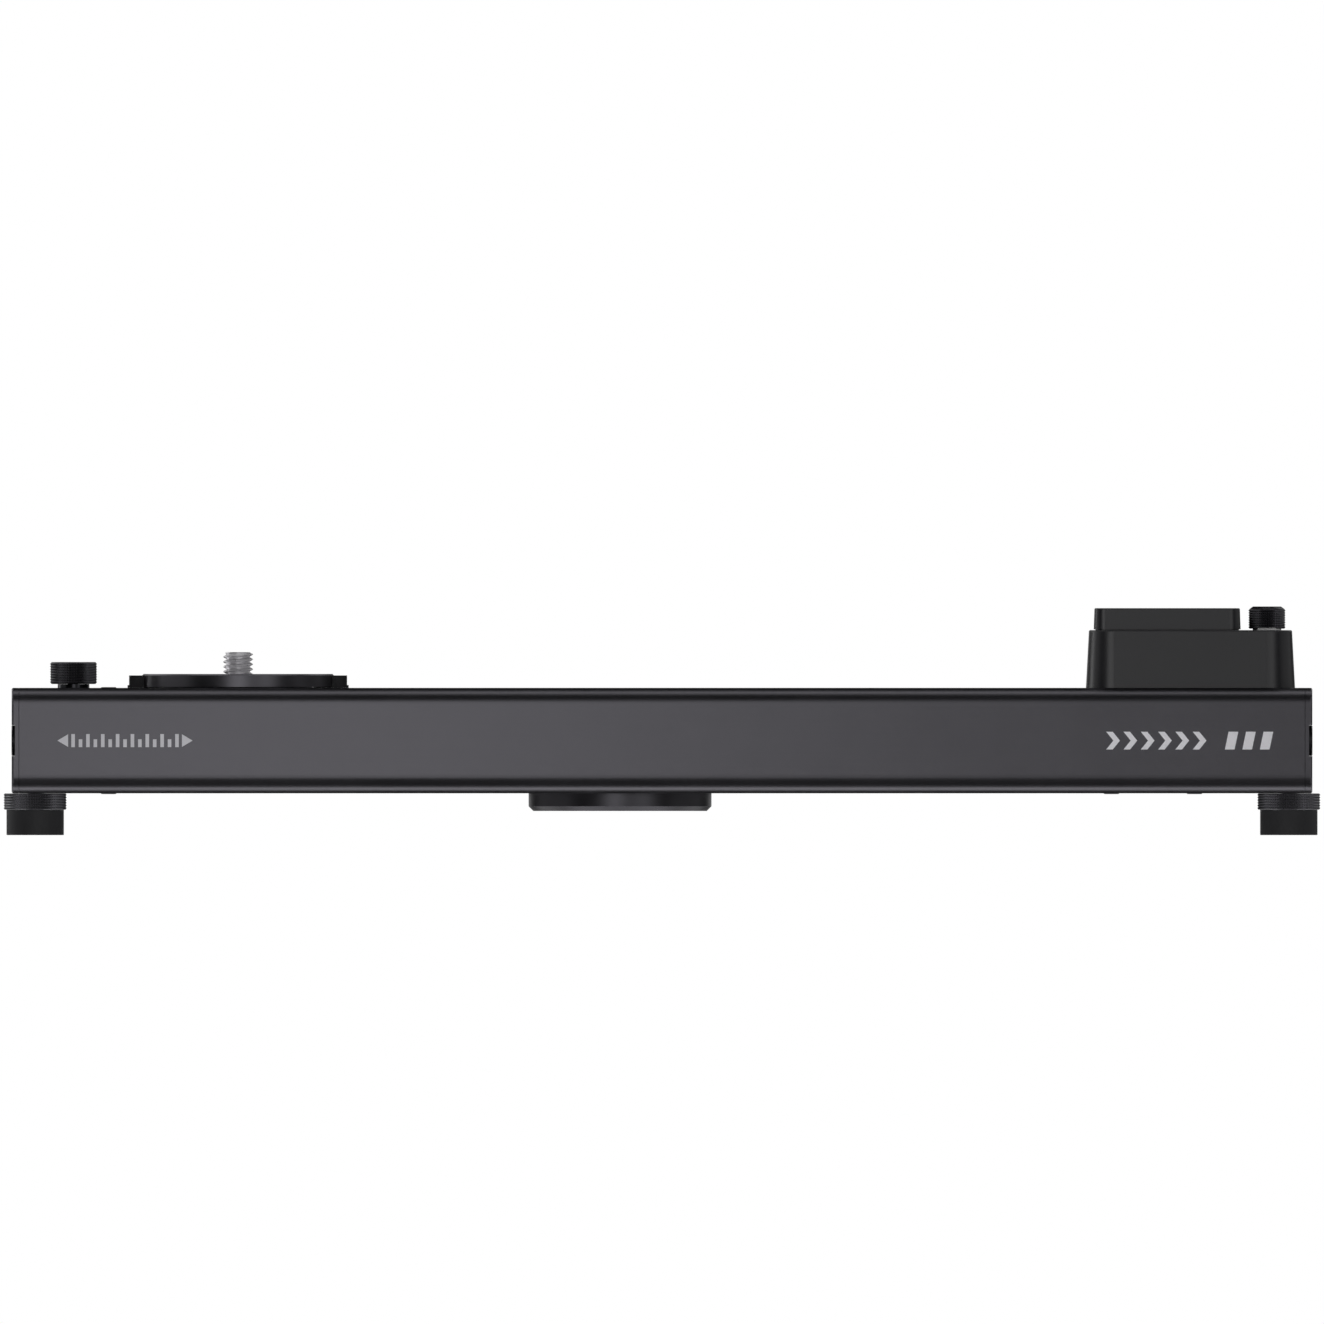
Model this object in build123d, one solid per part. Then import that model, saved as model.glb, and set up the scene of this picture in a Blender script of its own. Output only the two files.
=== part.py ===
"""Motorised belt-drive camera slider, about 420 mm long, in millimetres.

X runs along the rail from the idler end to the motor end, Y from front to back, Z up.
The origin is on the surface that the feet stand on, under the middle of the rail.
"""

import math
import os

from build123d import *

# --- driving dimensions -----------------------------------------------------------------
BODY_LENGTH = 417.0  # rail with both end plates
END_PLATE = 2.4
RAIL_LENGTH = BODY_LENGTH - 2 * END_PLATE
RAIL_WIDTH = 74.0
RAIL_HEIGHT = 33.8
RAIL_BOTTOM = 13.4
RAIL_TOP = RAIL_BOTTOM + RAIL_HEIGHT
RAIL_MID = (RAIL_BOTTOM + RAIL_TOP) / 2
RAIL_CORNER = 6.0
SIDE_WALL = 3.2
FLOOR_TOP = RAIL_BOTTOM + 3.0
ROOF_UNDER = RAIL_TOP - 3.0
SLOT_WIDTH = 40.0
CAVITY_HALF = RAIL_WIDTH / 2 - SIDE_WALL
RAIL_END = RAIL_LENGTH / 2
BODY_END = BODY_LENGTH / 2

ROD_RADIUS = 3.0
ROD_Y = 31.3
LEDGE_FACE = 30.2  # how far in the seat around each guide rod reaches
LEDGE_HEIGHT = 11.0

RUN_GAP = 0.03  # radial running clearance of a pin in its hole
THREAD_GAP = 0.05  # radial play of a modelled thread, which is a plain cylinder

FOOT_X = 200.95
FOOT_Y = 29.45
PAD_RADIUS = 9.2
PAD_HEIGHT = 8.15
RING_RADIUS = 10.1
RING_BOTTOM = PAD_HEIGHT + 0.05
RING_TOP = RAIL_BOTTOM - 0.2
STEM_RADIUS = 3.0
STEM_BOTTOM = 3.6
STEM_TOP = 32.0

BLOCK_LENGTH = 10.0  # end block that the feet and the side thread screw into
BLOCK_TOP = 24.6
TOWER_HALF = 9.0
TOWER_TOP = 36.5
INSERT_RADIUS = 4.2
INSERT_FLANGE = 4.9
GROOVE_DEPTH = 1.05
GROOVE_HEIGHT = 9.9
QUARTER_TAP = 2.55  # tapping radius of a 1/4 inch-20 thread
THREE_EIGHTHS = 4.7625  # outer radius of a 3/8 inch-16 thread

PULLEY_RADIUS = 6.11  # 20 teeth of a 2 mm timing belt
BELT_INNER = 6.13
BELT_OUTER = 6.75
BELT_BOTTOM, BELT_TOP = 24.3, 30.3
IDLER_X = -177.4
DRIVE_X = 170.6
AXLE_RADIUS = 3.0

CARRIAGE_X = -135.9
DISC_RADIUS = 30.8
DISC_BOTTOM = RAIL_TOP + 0.3
DISC_TOP = 51.66
STUD_SHANK = 4.0
STUD_SEAT = DISC_TOP - 0.5  # floor of the relief round the thread's run-out
RELIEF_RADIUS = 5.7
STUD_TOP = 58.66
NECK_HALF = 24.0  # half length of the neck that comes up through the slot
BUMPER_HALF = 34.95
LIP_HALF = 35.45
ROLLER_RADIUS = 7.4
ROLLER_ROOT = 6.0  # radius at the bottom of the groove, which rolls on the rod
ROLLER_Y = ROD_Y - ROD_RADIUS - RUN_GAP - ROLLER_ROOT
ROLLER_X = 20.0
ROLLER_BOTTOM, ROLLER_TOP = RAIL_MID - 3.5, RAIL_MID + 3.5
TROLLEY_BOTTOM, TROLLEY_TOP = 36.5, 41.5

KNOB_X = -188.65
LOCK_KNOB_RADIUS = 7.55
LOCK_KNOB_BOTTOM, LOCK_KNOB_TOP = 48.43, 55.49
BRAKE_RADIUS = 14.3
BRAKE_BOTTOM, BRAKE_TOP = 33.8, 35.8

BASE_DISC_X = -13.45
BASE_DISC_RADIUS = 29.32
BASE_DISC_BOTTOM = 7.74

HOUSING_X = 169.43
HOUSING_LENGTH, HOUSING_WIDTH = 67.05, 64.0
HOUSING_CORNER = 9.0
HOUSING_TOP = 65.72
HOUSING_WALL = 2.0
HOUSING_DRAFT = 3.0
PLATE_TOP = RAIL_TOP + 2.0
DECK_X = 161.95
DECK_LENGTH, DECK_WIDTH = 47.1, 59.0
DECK_TOP = 72.76
DECK_WALL = 1.6
DECK_DRAFT = 2.0
DECK_GAP = 0.25  # height of the shadow gap round the foot of the deck
BOARD_BOTTOM, BOARD_TOP = 57.5, 59.1
POSTS = [(x, y) for x in (143.5, 196.0) for y in (-24.0, 24.0)]

CONTROL_X = 193.95
CONTROL_RADIUS = 5.95
CONTROL_BOTTOM, CONTROL_TOP = 66.18, 73.3
NOTCH_HALF = 3.1  # half width of the index notch in the knob's skirt
ENCODER_SHAFT = 2.25
BUSHING_RADIUS = 2.9
NUT_TOP = HOUSING_TOP + 0.8
BUTTONS = {"start_button": 152.0, "direction_button": 172.0}
BUTTON_Y = -14.0
BUTTON_RADIUS = 4.5
DISPLAY_Y = 9.0

GEAR_MODULE = 0.5
GEAR_TEETH, PINION_TEETH = 64, 18
GEAR_CENTRES = GEAR_MODULE * (GEAR_TEETH + PINION_TEETH) / 2
MOTOR_DX = 12.4
MOTOR_X = DRIVE_X + MOTOR_DX
MOTOR_Y = math.sqrt(GEAR_CENTRES**2 - MOTOR_DX**2)
MOTOR_RADIUS = 11.0
MOTOR_BOTTOM = 25.8
SHAFT_RADIUS = 2.5
MOTOR_SHAFT = 1.5
BEARING_RADIUS = 5.0

SCREW_HEAD = 2.65  # button-head M3
HEAD_HEIGHT = 1.25
HEAD_PROUD = 0.25
M3_RADIUS = 1.5
M3_THREAD = 1.25
CSK_RADIUS = 2.75
BLOCK_SCREWS = [(x, y) for x in (144.1, 170.7) for y in (-14.0, 14.0)]
PLATE_SCREWS = [(y, z) for y, z in ((-30.9, 41.3), (30.9, 41.3), (-16.0, 20.5), (16.0, 20.5))]
FOOT_CORNERS = {
    "front_left": (-FOOT_X, -FOOT_Y),
    "front_right": (FOOT_X, -FOOT_Y),
    "back_left": (-FOOT_X, FOOT_Y),
    "back_right": (FOOT_X, FOOT_Y),
}


# --- small shared shapes ------------------------------------------------------------------
def rod(radius, bottom, top, x=0.0, y=0.0):
    """Upright cylinder from one height to another."""
    return Pos(x, y, (bottom + top) / 2) * Cylinder(radius, top - bottom)


def block(x_range, y_range, z_range):
    """Box between two limits on each axis."""
    sizes = [high - low for low, high in (x_range, y_range, z_range)]
    centre = [(low + high) / 2 for low, high in (x_range, y_range, z_range)]
    return Pos(*centre) * Box(*sizes)


def rod_along_x(radius, start, end, y, z):
    """Cylinder along X between two stations."""
    return Pos((start + end) / 2, y, z) * Rot(0, 90, 0) * Cylinder(radius, end - start)


def cone_up(lower_radius, upper_radius, bottom, top, x=0.0, y=0.0):
    return Pos(x, y, (bottom + top) / 2) * Cone(lower_radius, upper_radius, top - bottom)


def prism(outline, bottom, top, x=0.0, y=0.0, draft=0.0):
    """Outline raised from one height to another, with draft in degrees."""
    return extrude(Pos(x, y, bottom) * outline, top - bottom, taper=draft)


def edges_at(shape, z):
    """Edges that lie at one height."""
    return shape.edges().filter_by_position(Axis.Z, z - 1e-3, z + 1e-3)


def end_outline():
    """Outer outline of the rail and the end plates, in the YZ plane."""
    return Pos(0, RAIL_MID) * RectangleRounded(RAIL_WIDTH, RAIL_HEIGHT, RAIL_CORNER)


def button_head(x, y, seat, tip, up):
    """Button-head screw whose shank runs from its seat to its tip, with a hexagon socket."""
    step = 1 if up else -1
    head_end = seat - step * HEAD_HEIGHT
    low, high = sorted((seat, head_end))
    head = rod(SCREW_HEAD, low, high, x, y)
    rim = edges_at(head, head_end)
    head = fillet(rim, 0.6)
    low, high = sorted((seat, tip))
    screw = head + rod(M3_RADIUS, low, high, x, y)
    low, high = sorted((head_end, head_end + step * 0.8))
    return screw - prism(RegularPolygon(1.1, 6), low, high, x, y)


def countersunk(x, y, face, tip, up):
    """Countersunk M3 screw flush with a face, its shank ending at the tip."""
    step = 1 if up else -1
    neck = face + step * 1.5
    low, high = sorted((face, neck))
    radii = (CSK_RADIUS, M3_THREAD) if up else (M3_THREAD, CSK_RADIUS)
    head = cone_up(*radii, low, high, x, y)
    low, high = sorted((neck, tip))
    screw = head + rod(M3_THREAD, low, high, x, y)
    low, high = sorted((face, face + step * 0.9))
    return screw - prism(RegularPolygon(1.1, 6), low, high, x, y)


def gear_outline(teeth, thinning=0.05, flank_points=6):
    """Involute spur gear, 20 degree pressure angle, with a tooth centred on +X."""
    pitch = GEAR_MODULE * teeth / 2
    base = pitch * math.cos(math.radians(20))
    tip = pitch + GEAR_MODULE
    root = pitch - 1.25 * GEAR_MODULE
    start = max(base, root)

    def roll(radius):
        t = math.sqrt(max((radius / base) ** 2 - 1, 0))
        return t - math.atan(t)

    half = math.pi / (2 * teeth) + roll(pitch) - thinning / (2 * pitch)
    flank = [start + (tip - start) * i / (flank_points - 1) for i in range(flank_points)]
    points = []
    for tooth in range(teeth):
        middle = 2 * math.pi * tooth / teeth
        side = [(root, half)] + [(r, half - roll(r)) for r in flank]
        around = [(r, -a) for r, a in side] + [(r, a) for r, a in reversed(side)]
        points += [(r * math.cos(middle + a), r * math.sin(middle + a)) for r, a in around]
    return make_face(Polyline(*points, close=True))


# --- rail ---------------------------------------------------------------------------------
def rail_extrusion():
    """Slotted box extrusion with a seat for each guide rod and two screw channels."""
    profile = end_outline()
    profile -= Pos(0, (FLOOR_TOP + ROOF_UNDER) / 2) * Rectangle(2 * CAVITY_HALF, ROOF_UNDER - FLOOR_TOP)
    for side in (-1, 1):
        ledge_middle = side * (LEDGE_FACE + CAVITY_HALF) / 2
        profile += Pos(ledge_middle, RAIL_MID) * Rectangle(CAVITY_HALF - LEDGE_FACE, LEDGE_HEIGHT)
        y, z = side * PLATE_SCREWS[1][0], PLATE_SCREWS[1][1]
        profile += Pos(y, z) * Rectangle(5.8, 5.8)
        profile -= Pos(y, z) * Circle(M3_THREAD)
        profile -= Pos(side * ROD_Y, RAIL_MID) * Circle(ROD_RADIUS)
    profile -= Pos(0, RAIL_TOP) * Rectangle(SLOT_WIDTH, 10)
    rail = extrude(Plane.YZ * profile, RAIL_LENGTH / 2, both=True)
    rail -= block((139, 200), (-28, 28), (ROOF_UNDER, RAIL_TOP + 1))
    for x, y in FOOT_CORNERS.values():
        rail -= rod(STEM_RADIUS + THREAD_GAP, RAIL_BOTTOM, FLOOR_TOP, x, y)
        rail -= rod(STEM_RADIUS + 0.4, FLOOR_TOP, ROOF_UNDER, x, y)
    for x, y in [(IDLER_X, 0.0), *BLOCK_SCREWS]:
        rail -= rod(M3_RADIUS, RAIL_BOTTOM, FLOOR_TOP, x, y)
        rail -= rod(SCREW_HEAD + 0.1, RAIL_BOTTOM, RAIL_BOTTOM + HEAD_HEIGHT - HEAD_PROUD, x, y)
    for x, y in base_screw_places():
        rail -= rod(M3_THREAD, RAIL_BOTTOM, FLOOR_TOP, x, y)
    return rail


def end_plate(side):
    """Plate that closes one end, with an anti-twist groove across its face."""
    plate = extrude(Plane.YZ * end_outline(), END_PLATE)
    inner = plate.faces().sort_by(Axis.X)[0]
    plate = chamfer(inner.edges(), 0.15)
    outer = plate.faces().sort_by(Axis.X)[-1]
    plate = fillet(outer.edges(), 0.6)
    face = END_PLATE
    groove = (RAIL_MID - GROOVE_HEIGHT / 2, RAIL_MID + GROOVE_HEIGHT / 2)
    plate -= block((face - GROOVE_DEPTH, face + 1), (-40, 40), groove)
    plate -= rod_along_x(INSERT_RADIUS, -1, face + 1, 0, RAIL_MID)
    for y, z in PLATE_SCREWS:
        plate -= rod_along_x(M3_THREAD, -1, face + 1, y, z)
        plate -= Pos(face - 0.75, y, z) * Rot(0, 90, 0) * Cone(M3_THREAD, CSK_RADIUS, 1.5)
    plate = Pos(RAIL_END, 0, 0) * plate
    return plate if side > 0 else mirror(plate, Plane.YZ)


def end_plate_screws():
    """Four countersunk screws in each end plate."""
    screws = []
    for y, z in PLATE_SCREWS:
        lying = Pos(BODY_END, y, z) * Rot(0, 90, 0) * countersunk(0, 0, 0, -9, up=False)
        screws += [lying, mirror(lying, Plane.YZ)]
    return screws


def end_blocks():
    """Blocks inside the rail ends that take the feet, the side threads and two plate screws."""
    x = (RAIL_END - BLOCK_LENGTH, RAIL_END)
    body = block(x, (-CAVITY_HALF + 0.3, CAVITY_HALF - 0.3), (FLOOR_TOP, BLOCK_TOP))
    body += block(x, (-TOWER_HALF, TOWER_HALF), (BLOCK_TOP, TOWER_TOP))
    body -= rod_along_x(INSERT_RADIUS, x[0], x[1], 0, RAIL_MID)
    for side in (-1, 1):
        body -= rod(STEM_RADIUS + THREAD_GAP, FLOOR_TOP, BLOCK_TOP, FOOT_X, side * FOOT_Y)
    for y, z in PLATE_SCREWS[2:]:
        body -= rod_along_x(M3_THREAD, x[0], x[1], y, z)
    return [body, mirror(body, Plane.YZ)]


def side_thread_inserts():
    """Flanged 1/4 inch-20 inserts in the end plates."""
    flange_back = BODY_END - GROOVE_DEPTH
    insert = rod_along_x(INSERT_RADIUS, BODY_END - 9, flange_back, 0, RAIL_MID)
    insert += rod_along_x(INSERT_FLANGE, flange_back, BODY_END + 0.05, 0, RAIL_MID)
    insert -= rod_along_x(QUARTER_TAP, BODY_END - 10, BODY_END + 1, 0, RAIL_MID)
    return [insert, mirror(insert, Plane.YZ)]


def guide_rods():
    end = RAIL_END - BLOCK_LENGTH - 0.2
    return [rod_along_x(ROD_RADIUS, -end, end, side * ROD_Y, RAIL_MID) for side in (-1, 1)]


def rail_screws():
    """Button-head screws: idler axle top and bottom, and four under the bearing block."""
    seat = RAIL_BOTTOM - HEAD_PROUD + HEAD_HEIGHT
    under = [(IDLER_X, 0.0), *BLOCK_SCREWS]
    screws = [button_head(x, y, seat, 21, up=True) for x, y in under]
    top_seat = RAIL_TOP + HEAD_PROUD - HEAD_HEIGHT
    return screws + [button_head(IDLER_X, 0, top_seat, 36, up=False)]


# --- base disc ------------------------------------------------------------------------------
def base_screw_places():
    reach = 20 / math.sqrt(2)
    return [(BASE_DISC_X + i * reach, j * reach) for i in (-1, 1) for j in (-1, 1)]


def base_disc():
    """Round foot for a tripod head under the rail."""
    disc = rod(BASE_DISC_RADIUS, BASE_DISC_BOTTOM, RAIL_BOTTOM, BASE_DISC_X)
    disc = chamfer(edges_at(disc, BASE_DISC_BOTTOM), 1.5)
    disc -= rod(THREE_EIGHTHS, BASE_DISC_BOTTOM, RAIL_BOTTOM, BASE_DISC_X)
    for x, y in base_screw_places():
        disc -= rod(M3_THREAD, BASE_DISC_BOTTOM, RAIL_BOTTOM, x, y)
        disc -= cone_up(CSK_RADIUS, M3_THREAD, BASE_DISC_BOTTOM, BASE_DISC_BOTTOM + 1.5, x, y)
    return disc


def base_disc_screws():
    return [countersunk(x, y, BASE_DISC_BOTTOM, FLOOR_TOP, up=True) for x, y in base_screw_places()]


def thread_adaptor():
    """Bush from 3/8 inch-16 down to 1/4 inch-20, with a coin slot."""
    bush = rod(THREE_EIGHTHS, BASE_DISC_BOTTOM, RAIL_BOTTOM, BASE_DISC_X)
    bush -= rod(QUARTER_TAP, BASE_DISC_BOTTOM, RAIL_BOTTOM, BASE_DISC_X)
    slot_x = (BASE_DISC_X - 5, BASE_DISC_X + 5)
    return bush - block(slot_x, (-0.6, 0.6), (BASE_DISC_BOTTOM - 1, BASE_DISC_BOTTOM + 1))


# --- feet -----------------------------------------------------------------------------------
def foot_pad(x, y):
    """Rubber pad that turns on the stem."""
    pad = rod(PAD_RADIUS, 0, PAD_HEIGHT)
    pad = fillet(edges_at(pad, 0), 0.25)
    pad -= rod(STEM_RADIUS + RUN_GAP, STEM_BOTTOM - 0.05, PAD_HEIGHT)
    return Pos(x, y, 0) * pad


def foot_ring(x, y):
    """Knurled adjusting ring, and the threaded stem pressed into it."""
    ring = rod(RING_RADIUS, RING_BOTTOM, RING_TOP)
    ring = chamfer(edges_at(ring, RING_BOTTOM) + edges_at(ring, RING_TOP), 0.35)
    ring -= rod(STEM_RADIUS, RING_BOTTOM, RING_TOP)
    stem = rod(STEM_RADIUS, STEM_BOTTOM, STEM_TOP)
    stem = chamfer(edges_at(stem, STEM_TOP), 0.6)
    return [Pos(x, y, 0) * ring, Pos(x, y, 0) * stem]


# --- idler end ------------------------------------------------------------------------------
def idler_axle():
    """Shouldered post between the rail floor and the cover, tapped at both ends."""
    axle = rod(4.5, FLOOR_TOP, 22.8, IDLER_X) + rod(AXLE_RADIUS, 22.8, 42.2, IDLER_X)
    axle -= rod(M3_RADIUS, FLOOR_TOP, 21, IDLER_X)
    return axle - rod(M3_RADIUS, 36, 42.2, IDLER_X)


def pulley(x, bore):
    """Flanged pulley for a 6 mm timing belt."""
    wheel = rod(PULLEY_RADIUS, BELT_BOTTOM - 0.4, BELT_TOP + 0.6, x)
    wheel += rod(8.0, BELT_BOTTOM - 1.4, BELT_BOTTOM - 0.4, x)
    wheel += rod(8.0, BELT_TOP + 0.6, BELT_TOP + 1.6, x)
    return wheel - rod(bore, BELT_BOTTOM - 2, BELT_TOP + 2, x)


def idler_pulley():
    """Idler with the brake disc that the lock knob presses on."""
    wheel = pulley(IDLER_X, AXLE_RADIUS + RUN_GAP)
    hub = rod(6.0, BELT_TOP + 1.6, BRAKE_BOTTOM, IDLER_X)
    hub += rod(BRAKE_RADIUS, BRAKE_BOTTOM, BRAKE_TOP, IDLER_X)
    return wheel + hub - rod(AXLE_RADIUS + RUN_GAP, BELT_TOP + 1, BRAKE_TOP + 1, IDLER_X)


def drive_belt():
    """Closed timing belt round both pulleys."""
    middle = (IDLER_X + DRIVE_X) / 2
    outer = SlotCenterToCenter(DRIVE_X - IDLER_X, 2 * BELT_OUTER)
    inner = SlotCenterToCenter(DRIVE_X - IDLER_X, 2 * BELT_INNER)
    return prism(outer - inner, BELT_BOTTOM, BELT_TOP, middle)


def idler_cover():
    """Cover that closes the slot over the idler, flush with the rail's top."""
    right = -171.0
    cover = block((-RAIL_END, right), (-19.95, 19.95), (ROOF_UNDER, RAIL_TOP))
    cover += block((-RAIL_END + BLOCK_LENGTH, right), (-24, 24), (42.2, ROOF_UNDER))
    cover -= rod(3.4, 42, RAIL_TOP + 1, KNOB_X)
    cover -= rod(M3_RADIUS, 42, RAIL_TOP + 1, IDLER_X)
    return cover - rod(SCREW_HEAD + 0.1, RAIL_TOP + HEAD_PROUD - HEAD_HEIGHT, RAIL_TOP + 1, IDLER_X)


def lock_bush():
    """Threaded bush in the cover that the lock screw runs in."""
    bush = rod(3.4, 42.2, RAIL_TOP, KNOB_X)
    bush += rod(5.1, RAIL_TOP, LOCK_KNOB_BOTTOM - 0.02, KNOB_X)
    return bush - rod(2.0 + RUN_GAP, 42, 49, KNOB_X)


def lock_knob():
    """Knurled lock knob, and the steel screw pressed into it."""
    knob = rod(LOCK_KNOB_RADIUS, LOCK_KNOB_BOTTOM, LOCK_KNOB_TOP, KNOB_X)
    knob = chamfer(edges_at(knob, LOCK_KNOB_BOTTOM) + edges_at(knob, LOCK_KNOB_TOP), 0.5)
    knob -= rod(2.0, LOCK_KNOB_BOTTOM, 53, KNOB_X)
    return [knob, rod(2.0, 37.2, 53, KNOB_X)]


def brake_pad():
    """Nylon pad on the tip of the lock screw."""
    pad = rod(2.6, BRAKE_TOP + 0.05, 38.6, KNOB_X)
    return pad - rod(2.0 + RUN_GAP, 37.15, 39, KNOB_X)


# --- carriage -------------------------------------------------------------------------------
def carriage_saddle():
    """Trolley plate inside the rail and the neck that comes up through the slot."""
    saddle = block((-28, 28), (-27.2, 27.2), (TROLLEY_BOTTOM, TROLLEY_TOP))
    saddle += block((-NECK_HALF, NECK_HALF), (-18, 18), (TROLLEY_TOP, DISC_BOTTOM))
    saddle -= rod(STUD_SHANK, 44, DISC_BOTTOM)
    for x, y in disc_screw_places():
        saddle -= rod(M3_THREAD, 43, DISC_BOTTOM, x, y)
    for x, y in roller_places().values():
        saddle -= rod(2.0, TROLLEY_BOTTOM, TROLLEY_TOP, x, y)
    return Pos(CARRIAGE_X, 0, 0) * saddle


def disc_screw_places():
    reach = 16.5 / math.sqrt(2)
    return [(i * reach, j * reach) for i in (-1, 1) for j in (-1, 1)]


def camera_disc():
    """Round camera platform with a recess for the grip ring."""
    disc = rod(DISC_RADIUS, DISC_BOTTOM, DISC_TOP)
    disc = chamfer(edges_at(disc, DISC_TOP), 0.5)
    disc -= rod(28.5, DISC_TOP - 0.8, DISC_TOP) - rod(22.5, DISC_TOP - 0.8, DISC_TOP)
    disc -= rod(STUD_SHANK, DISC_BOTTOM, DISC_TOP) + rod(RELIEF_RADIUS, STUD_SEAT, DISC_TOP)
    for x, y in disc_screw_places():
        disc -= rod(M3_THREAD, DISC_BOTTOM, DISC_TOP, x, y)
        disc -= cone_up(M3_THREAD, CSK_RADIUS, DISC_TOP - 1.5, DISC_TOP, x, y)
    return Pos(CARRIAGE_X, 0, 0) * disc


def grip_pad():
    """Rubber ring let into the platform, flush with its top."""
    ring = rod(28.5, DISC_TOP - 0.8, DISC_TOP) - rod(22.5, DISC_TOP - 0.8, DISC_TOP)
    return Pos(CARRIAGE_X, 0, 0) * ring


def camera_screw():
    """3/8 inch-16 stud with a hexagon socket in its end."""
    stud = rod(THREE_EIGHTHS, STUD_SEAT, STUD_TOP)
    stud = chamfer(edges_at(stud, STUD_TOP), 0.7)
    stud += rod(STUD_SHANK, 44, STUD_SEAT)
    stud -= prism(RegularPolygon(2.3, 6), STUD_TOP - 3.3, STUD_TOP)
    return Pos(CARRIAGE_X, 0, 0) * stud


def carriage_bumpers():
    """Rubber end stops bonded to the ends of the platform, each with a wiper lip under it."""
    bumpers = []
    for side in (-1, 1):
        body = block((NECK_HALF + 0.2, BUMPER_HALF), (-6, 6), (48.1, 51.2))
        body = fillet(body.edges().filter_by(Axis.Z).sort_by(Axis.X)[-2:], 2.5)
        lip = block((NECK_HALF + 0.2, LIP_HALF), (-6, 6), (RAIL_TOP + RUN_GAP, 48.1))
        lip = fillet(lip.edges().filter_by(Axis.Z).sort_by(Axis.X)[-2:], 2.5)
        bumper = body + lip - rod(DISC_RADIUS, DISC_BOTTOM, 52)
        bumper = bumper if side > 0 else mirror(bumper, Plane.YZ)
        bumpers.append(Pos(CARRIAGE_X, 0, 0) * bumper)
    return bumpers


def roller_places():
    """Roller centres about the carriage."""
    return {
        "roller_front_left": (-ROLLER_X, -ROLLER_Y),
        "roller_front_right": (ROLLER_X, -ROLLER_Y),
        "roller_back_left": (-ROLLER_X, ROLLER_Y),
        "roller_back_right": (ROLLER_X, ROLLER_Y),
    }


def roller(x, y):
    """Grooved roller that runs on a guide rod."""
    wheel = rod(ROLLER_RADIUS, ROLLER_BOTTOM, ROLLER_TOP)
    wheel = chamfer(edges_at(wheel, ROLLER_BOTTOM) + edges_at(wheel, ROLLER_TOP), 0.3)
    groove_radius = ROD_RADIUS + RUN_GAP
    wheel -= Pos(0, 0, RAIL_MID) * Torus(ROLLER_ROOT + groove_radius, groove_radius)
    wheel -= rod(2.5 + RUN_GAP, ROLLER_BOTTOM, ROLLER_TOP)
    return Pos(CARRIAGE_X + x, y, 0) * wheel


def roller_axles():
    """Shouldered axle screws of the four rollers."""
    axles = []
    for x, y in roller_places().values():
        axle = rod(4.0, ROLLER_BOTTOM - 2.2, ROLLER_BOTTOM - 0.2)
        axle += rod(2.5, ROLLER_BOTTOM - 0.2, ROLLER_TOP + 0.1)
        axle += rod(4.0, ROLLER_TOP + 0.1, TROLLEY_BOTTOM) + rod(2.0, TROLLEY_BOTTOM, TROLLEY_TOP)
        axle -= prism(RegularPolygon(1.8, 6), ROLLER_BOTTOM - 2.2, ROLLER_BOTTOM - 0.8)
        axles.append(Pos(CARRIAGE_X + x, y, 0) * axle)
    return axles


def belt_clamp():
    """Jaw under the trolley that holds the front run of the belt."""
    clamp = block((-10, 10), (-12, -1.5), (22.5, TROLLEY_BOTTOM))
    clamp -= block((-11, 11), (-BELT_OUTER - 0.2, -BELT_INNER + 0.2), (22, BELT_TOP + 0.6))
    return Pos(CARRIAGE_X, 0, 0) * clamp


def carriage_screws():
    places = disc_screw_places()
    return [Pos(CARRIAGE_X, 0, 0) * countersunk(x, y, DISC_TOP, 43, up=False) for x, y in places]


# --- drive ----------------------------------------------------------------------------------
def bearing_block():
    """Block on the rail floor that carries the lower end of the drive shaft."""
    body = block((138.6, 182), (-20, 20), (FLOOR_TOP, 21.9))
    body -= rod(BEARING_RADIUS, 17.4, 21.9, DRIVE_X)
    for x, y in BLOCK_SCREWS:
        body -= rod(M3_RADIUS, FLOOR_TOP, 21, x, y)
    return body


def shaft_bearings():
    """Ball bearings of the drive shaft, drawn as plain rings."""
    rings = []
    for bottom in (17.4, 43.0):
        ring = rod(BEARING_RADIUS, bottom, bottom + 4, DRIVE_X)
        rings.append(ring - rod(SHAFT_RADIUS + RUN_GAP, bottom, bottom + 4, DRIVE_X))
    return rings


def drive_shaft():
    return rod(SHAFT_RADIUS, 17.5, 54.5, DRIVE_X)


def drive_pulley():
    return pulley(DRIVE_X, SHAFT_RADIUS)


def drive_gear():
    toward_motor = math.degrees(math.atan2(MOTOR_Y, MOTOR_DX))
    gear = prism(gear_outline(GEAR_TEETH), 50, 54) - rod(SHAFT_RADIUS, 49, 55)
    for turn in range(6):
        gear -= Rot(0, 0, 60 * turn) * rod(2.6, 49, 55, 9.5)
    return Pos(DRIVE_X, 0, 0) * Rot(0, 0, toward_motor) * gear


def motor_rotor():
    """Rotor and shaft, and the pinion pressed on the shaft."""
    rotor = rod(8.0, 28, 44) + rod(MOTOR_SHAFT, 27, 54.5)
    pinion = prism(gear_outline(PINION_TEETH), 49.8, 54.3) - rod(MOTOR_SHAFT, 49, 55)
    toward_gear = math.degrees(math.atan2(-MOTOR_Y, -MOTOR_DX))
    gap_turn = 180 / PINION_TEETH
    place = Pos(MOTOR_X, MOTOR_Y, 0)
    return [place * rotor, place * Rot(0, 0, toward_gear + gap_turn) * pinion]


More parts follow.
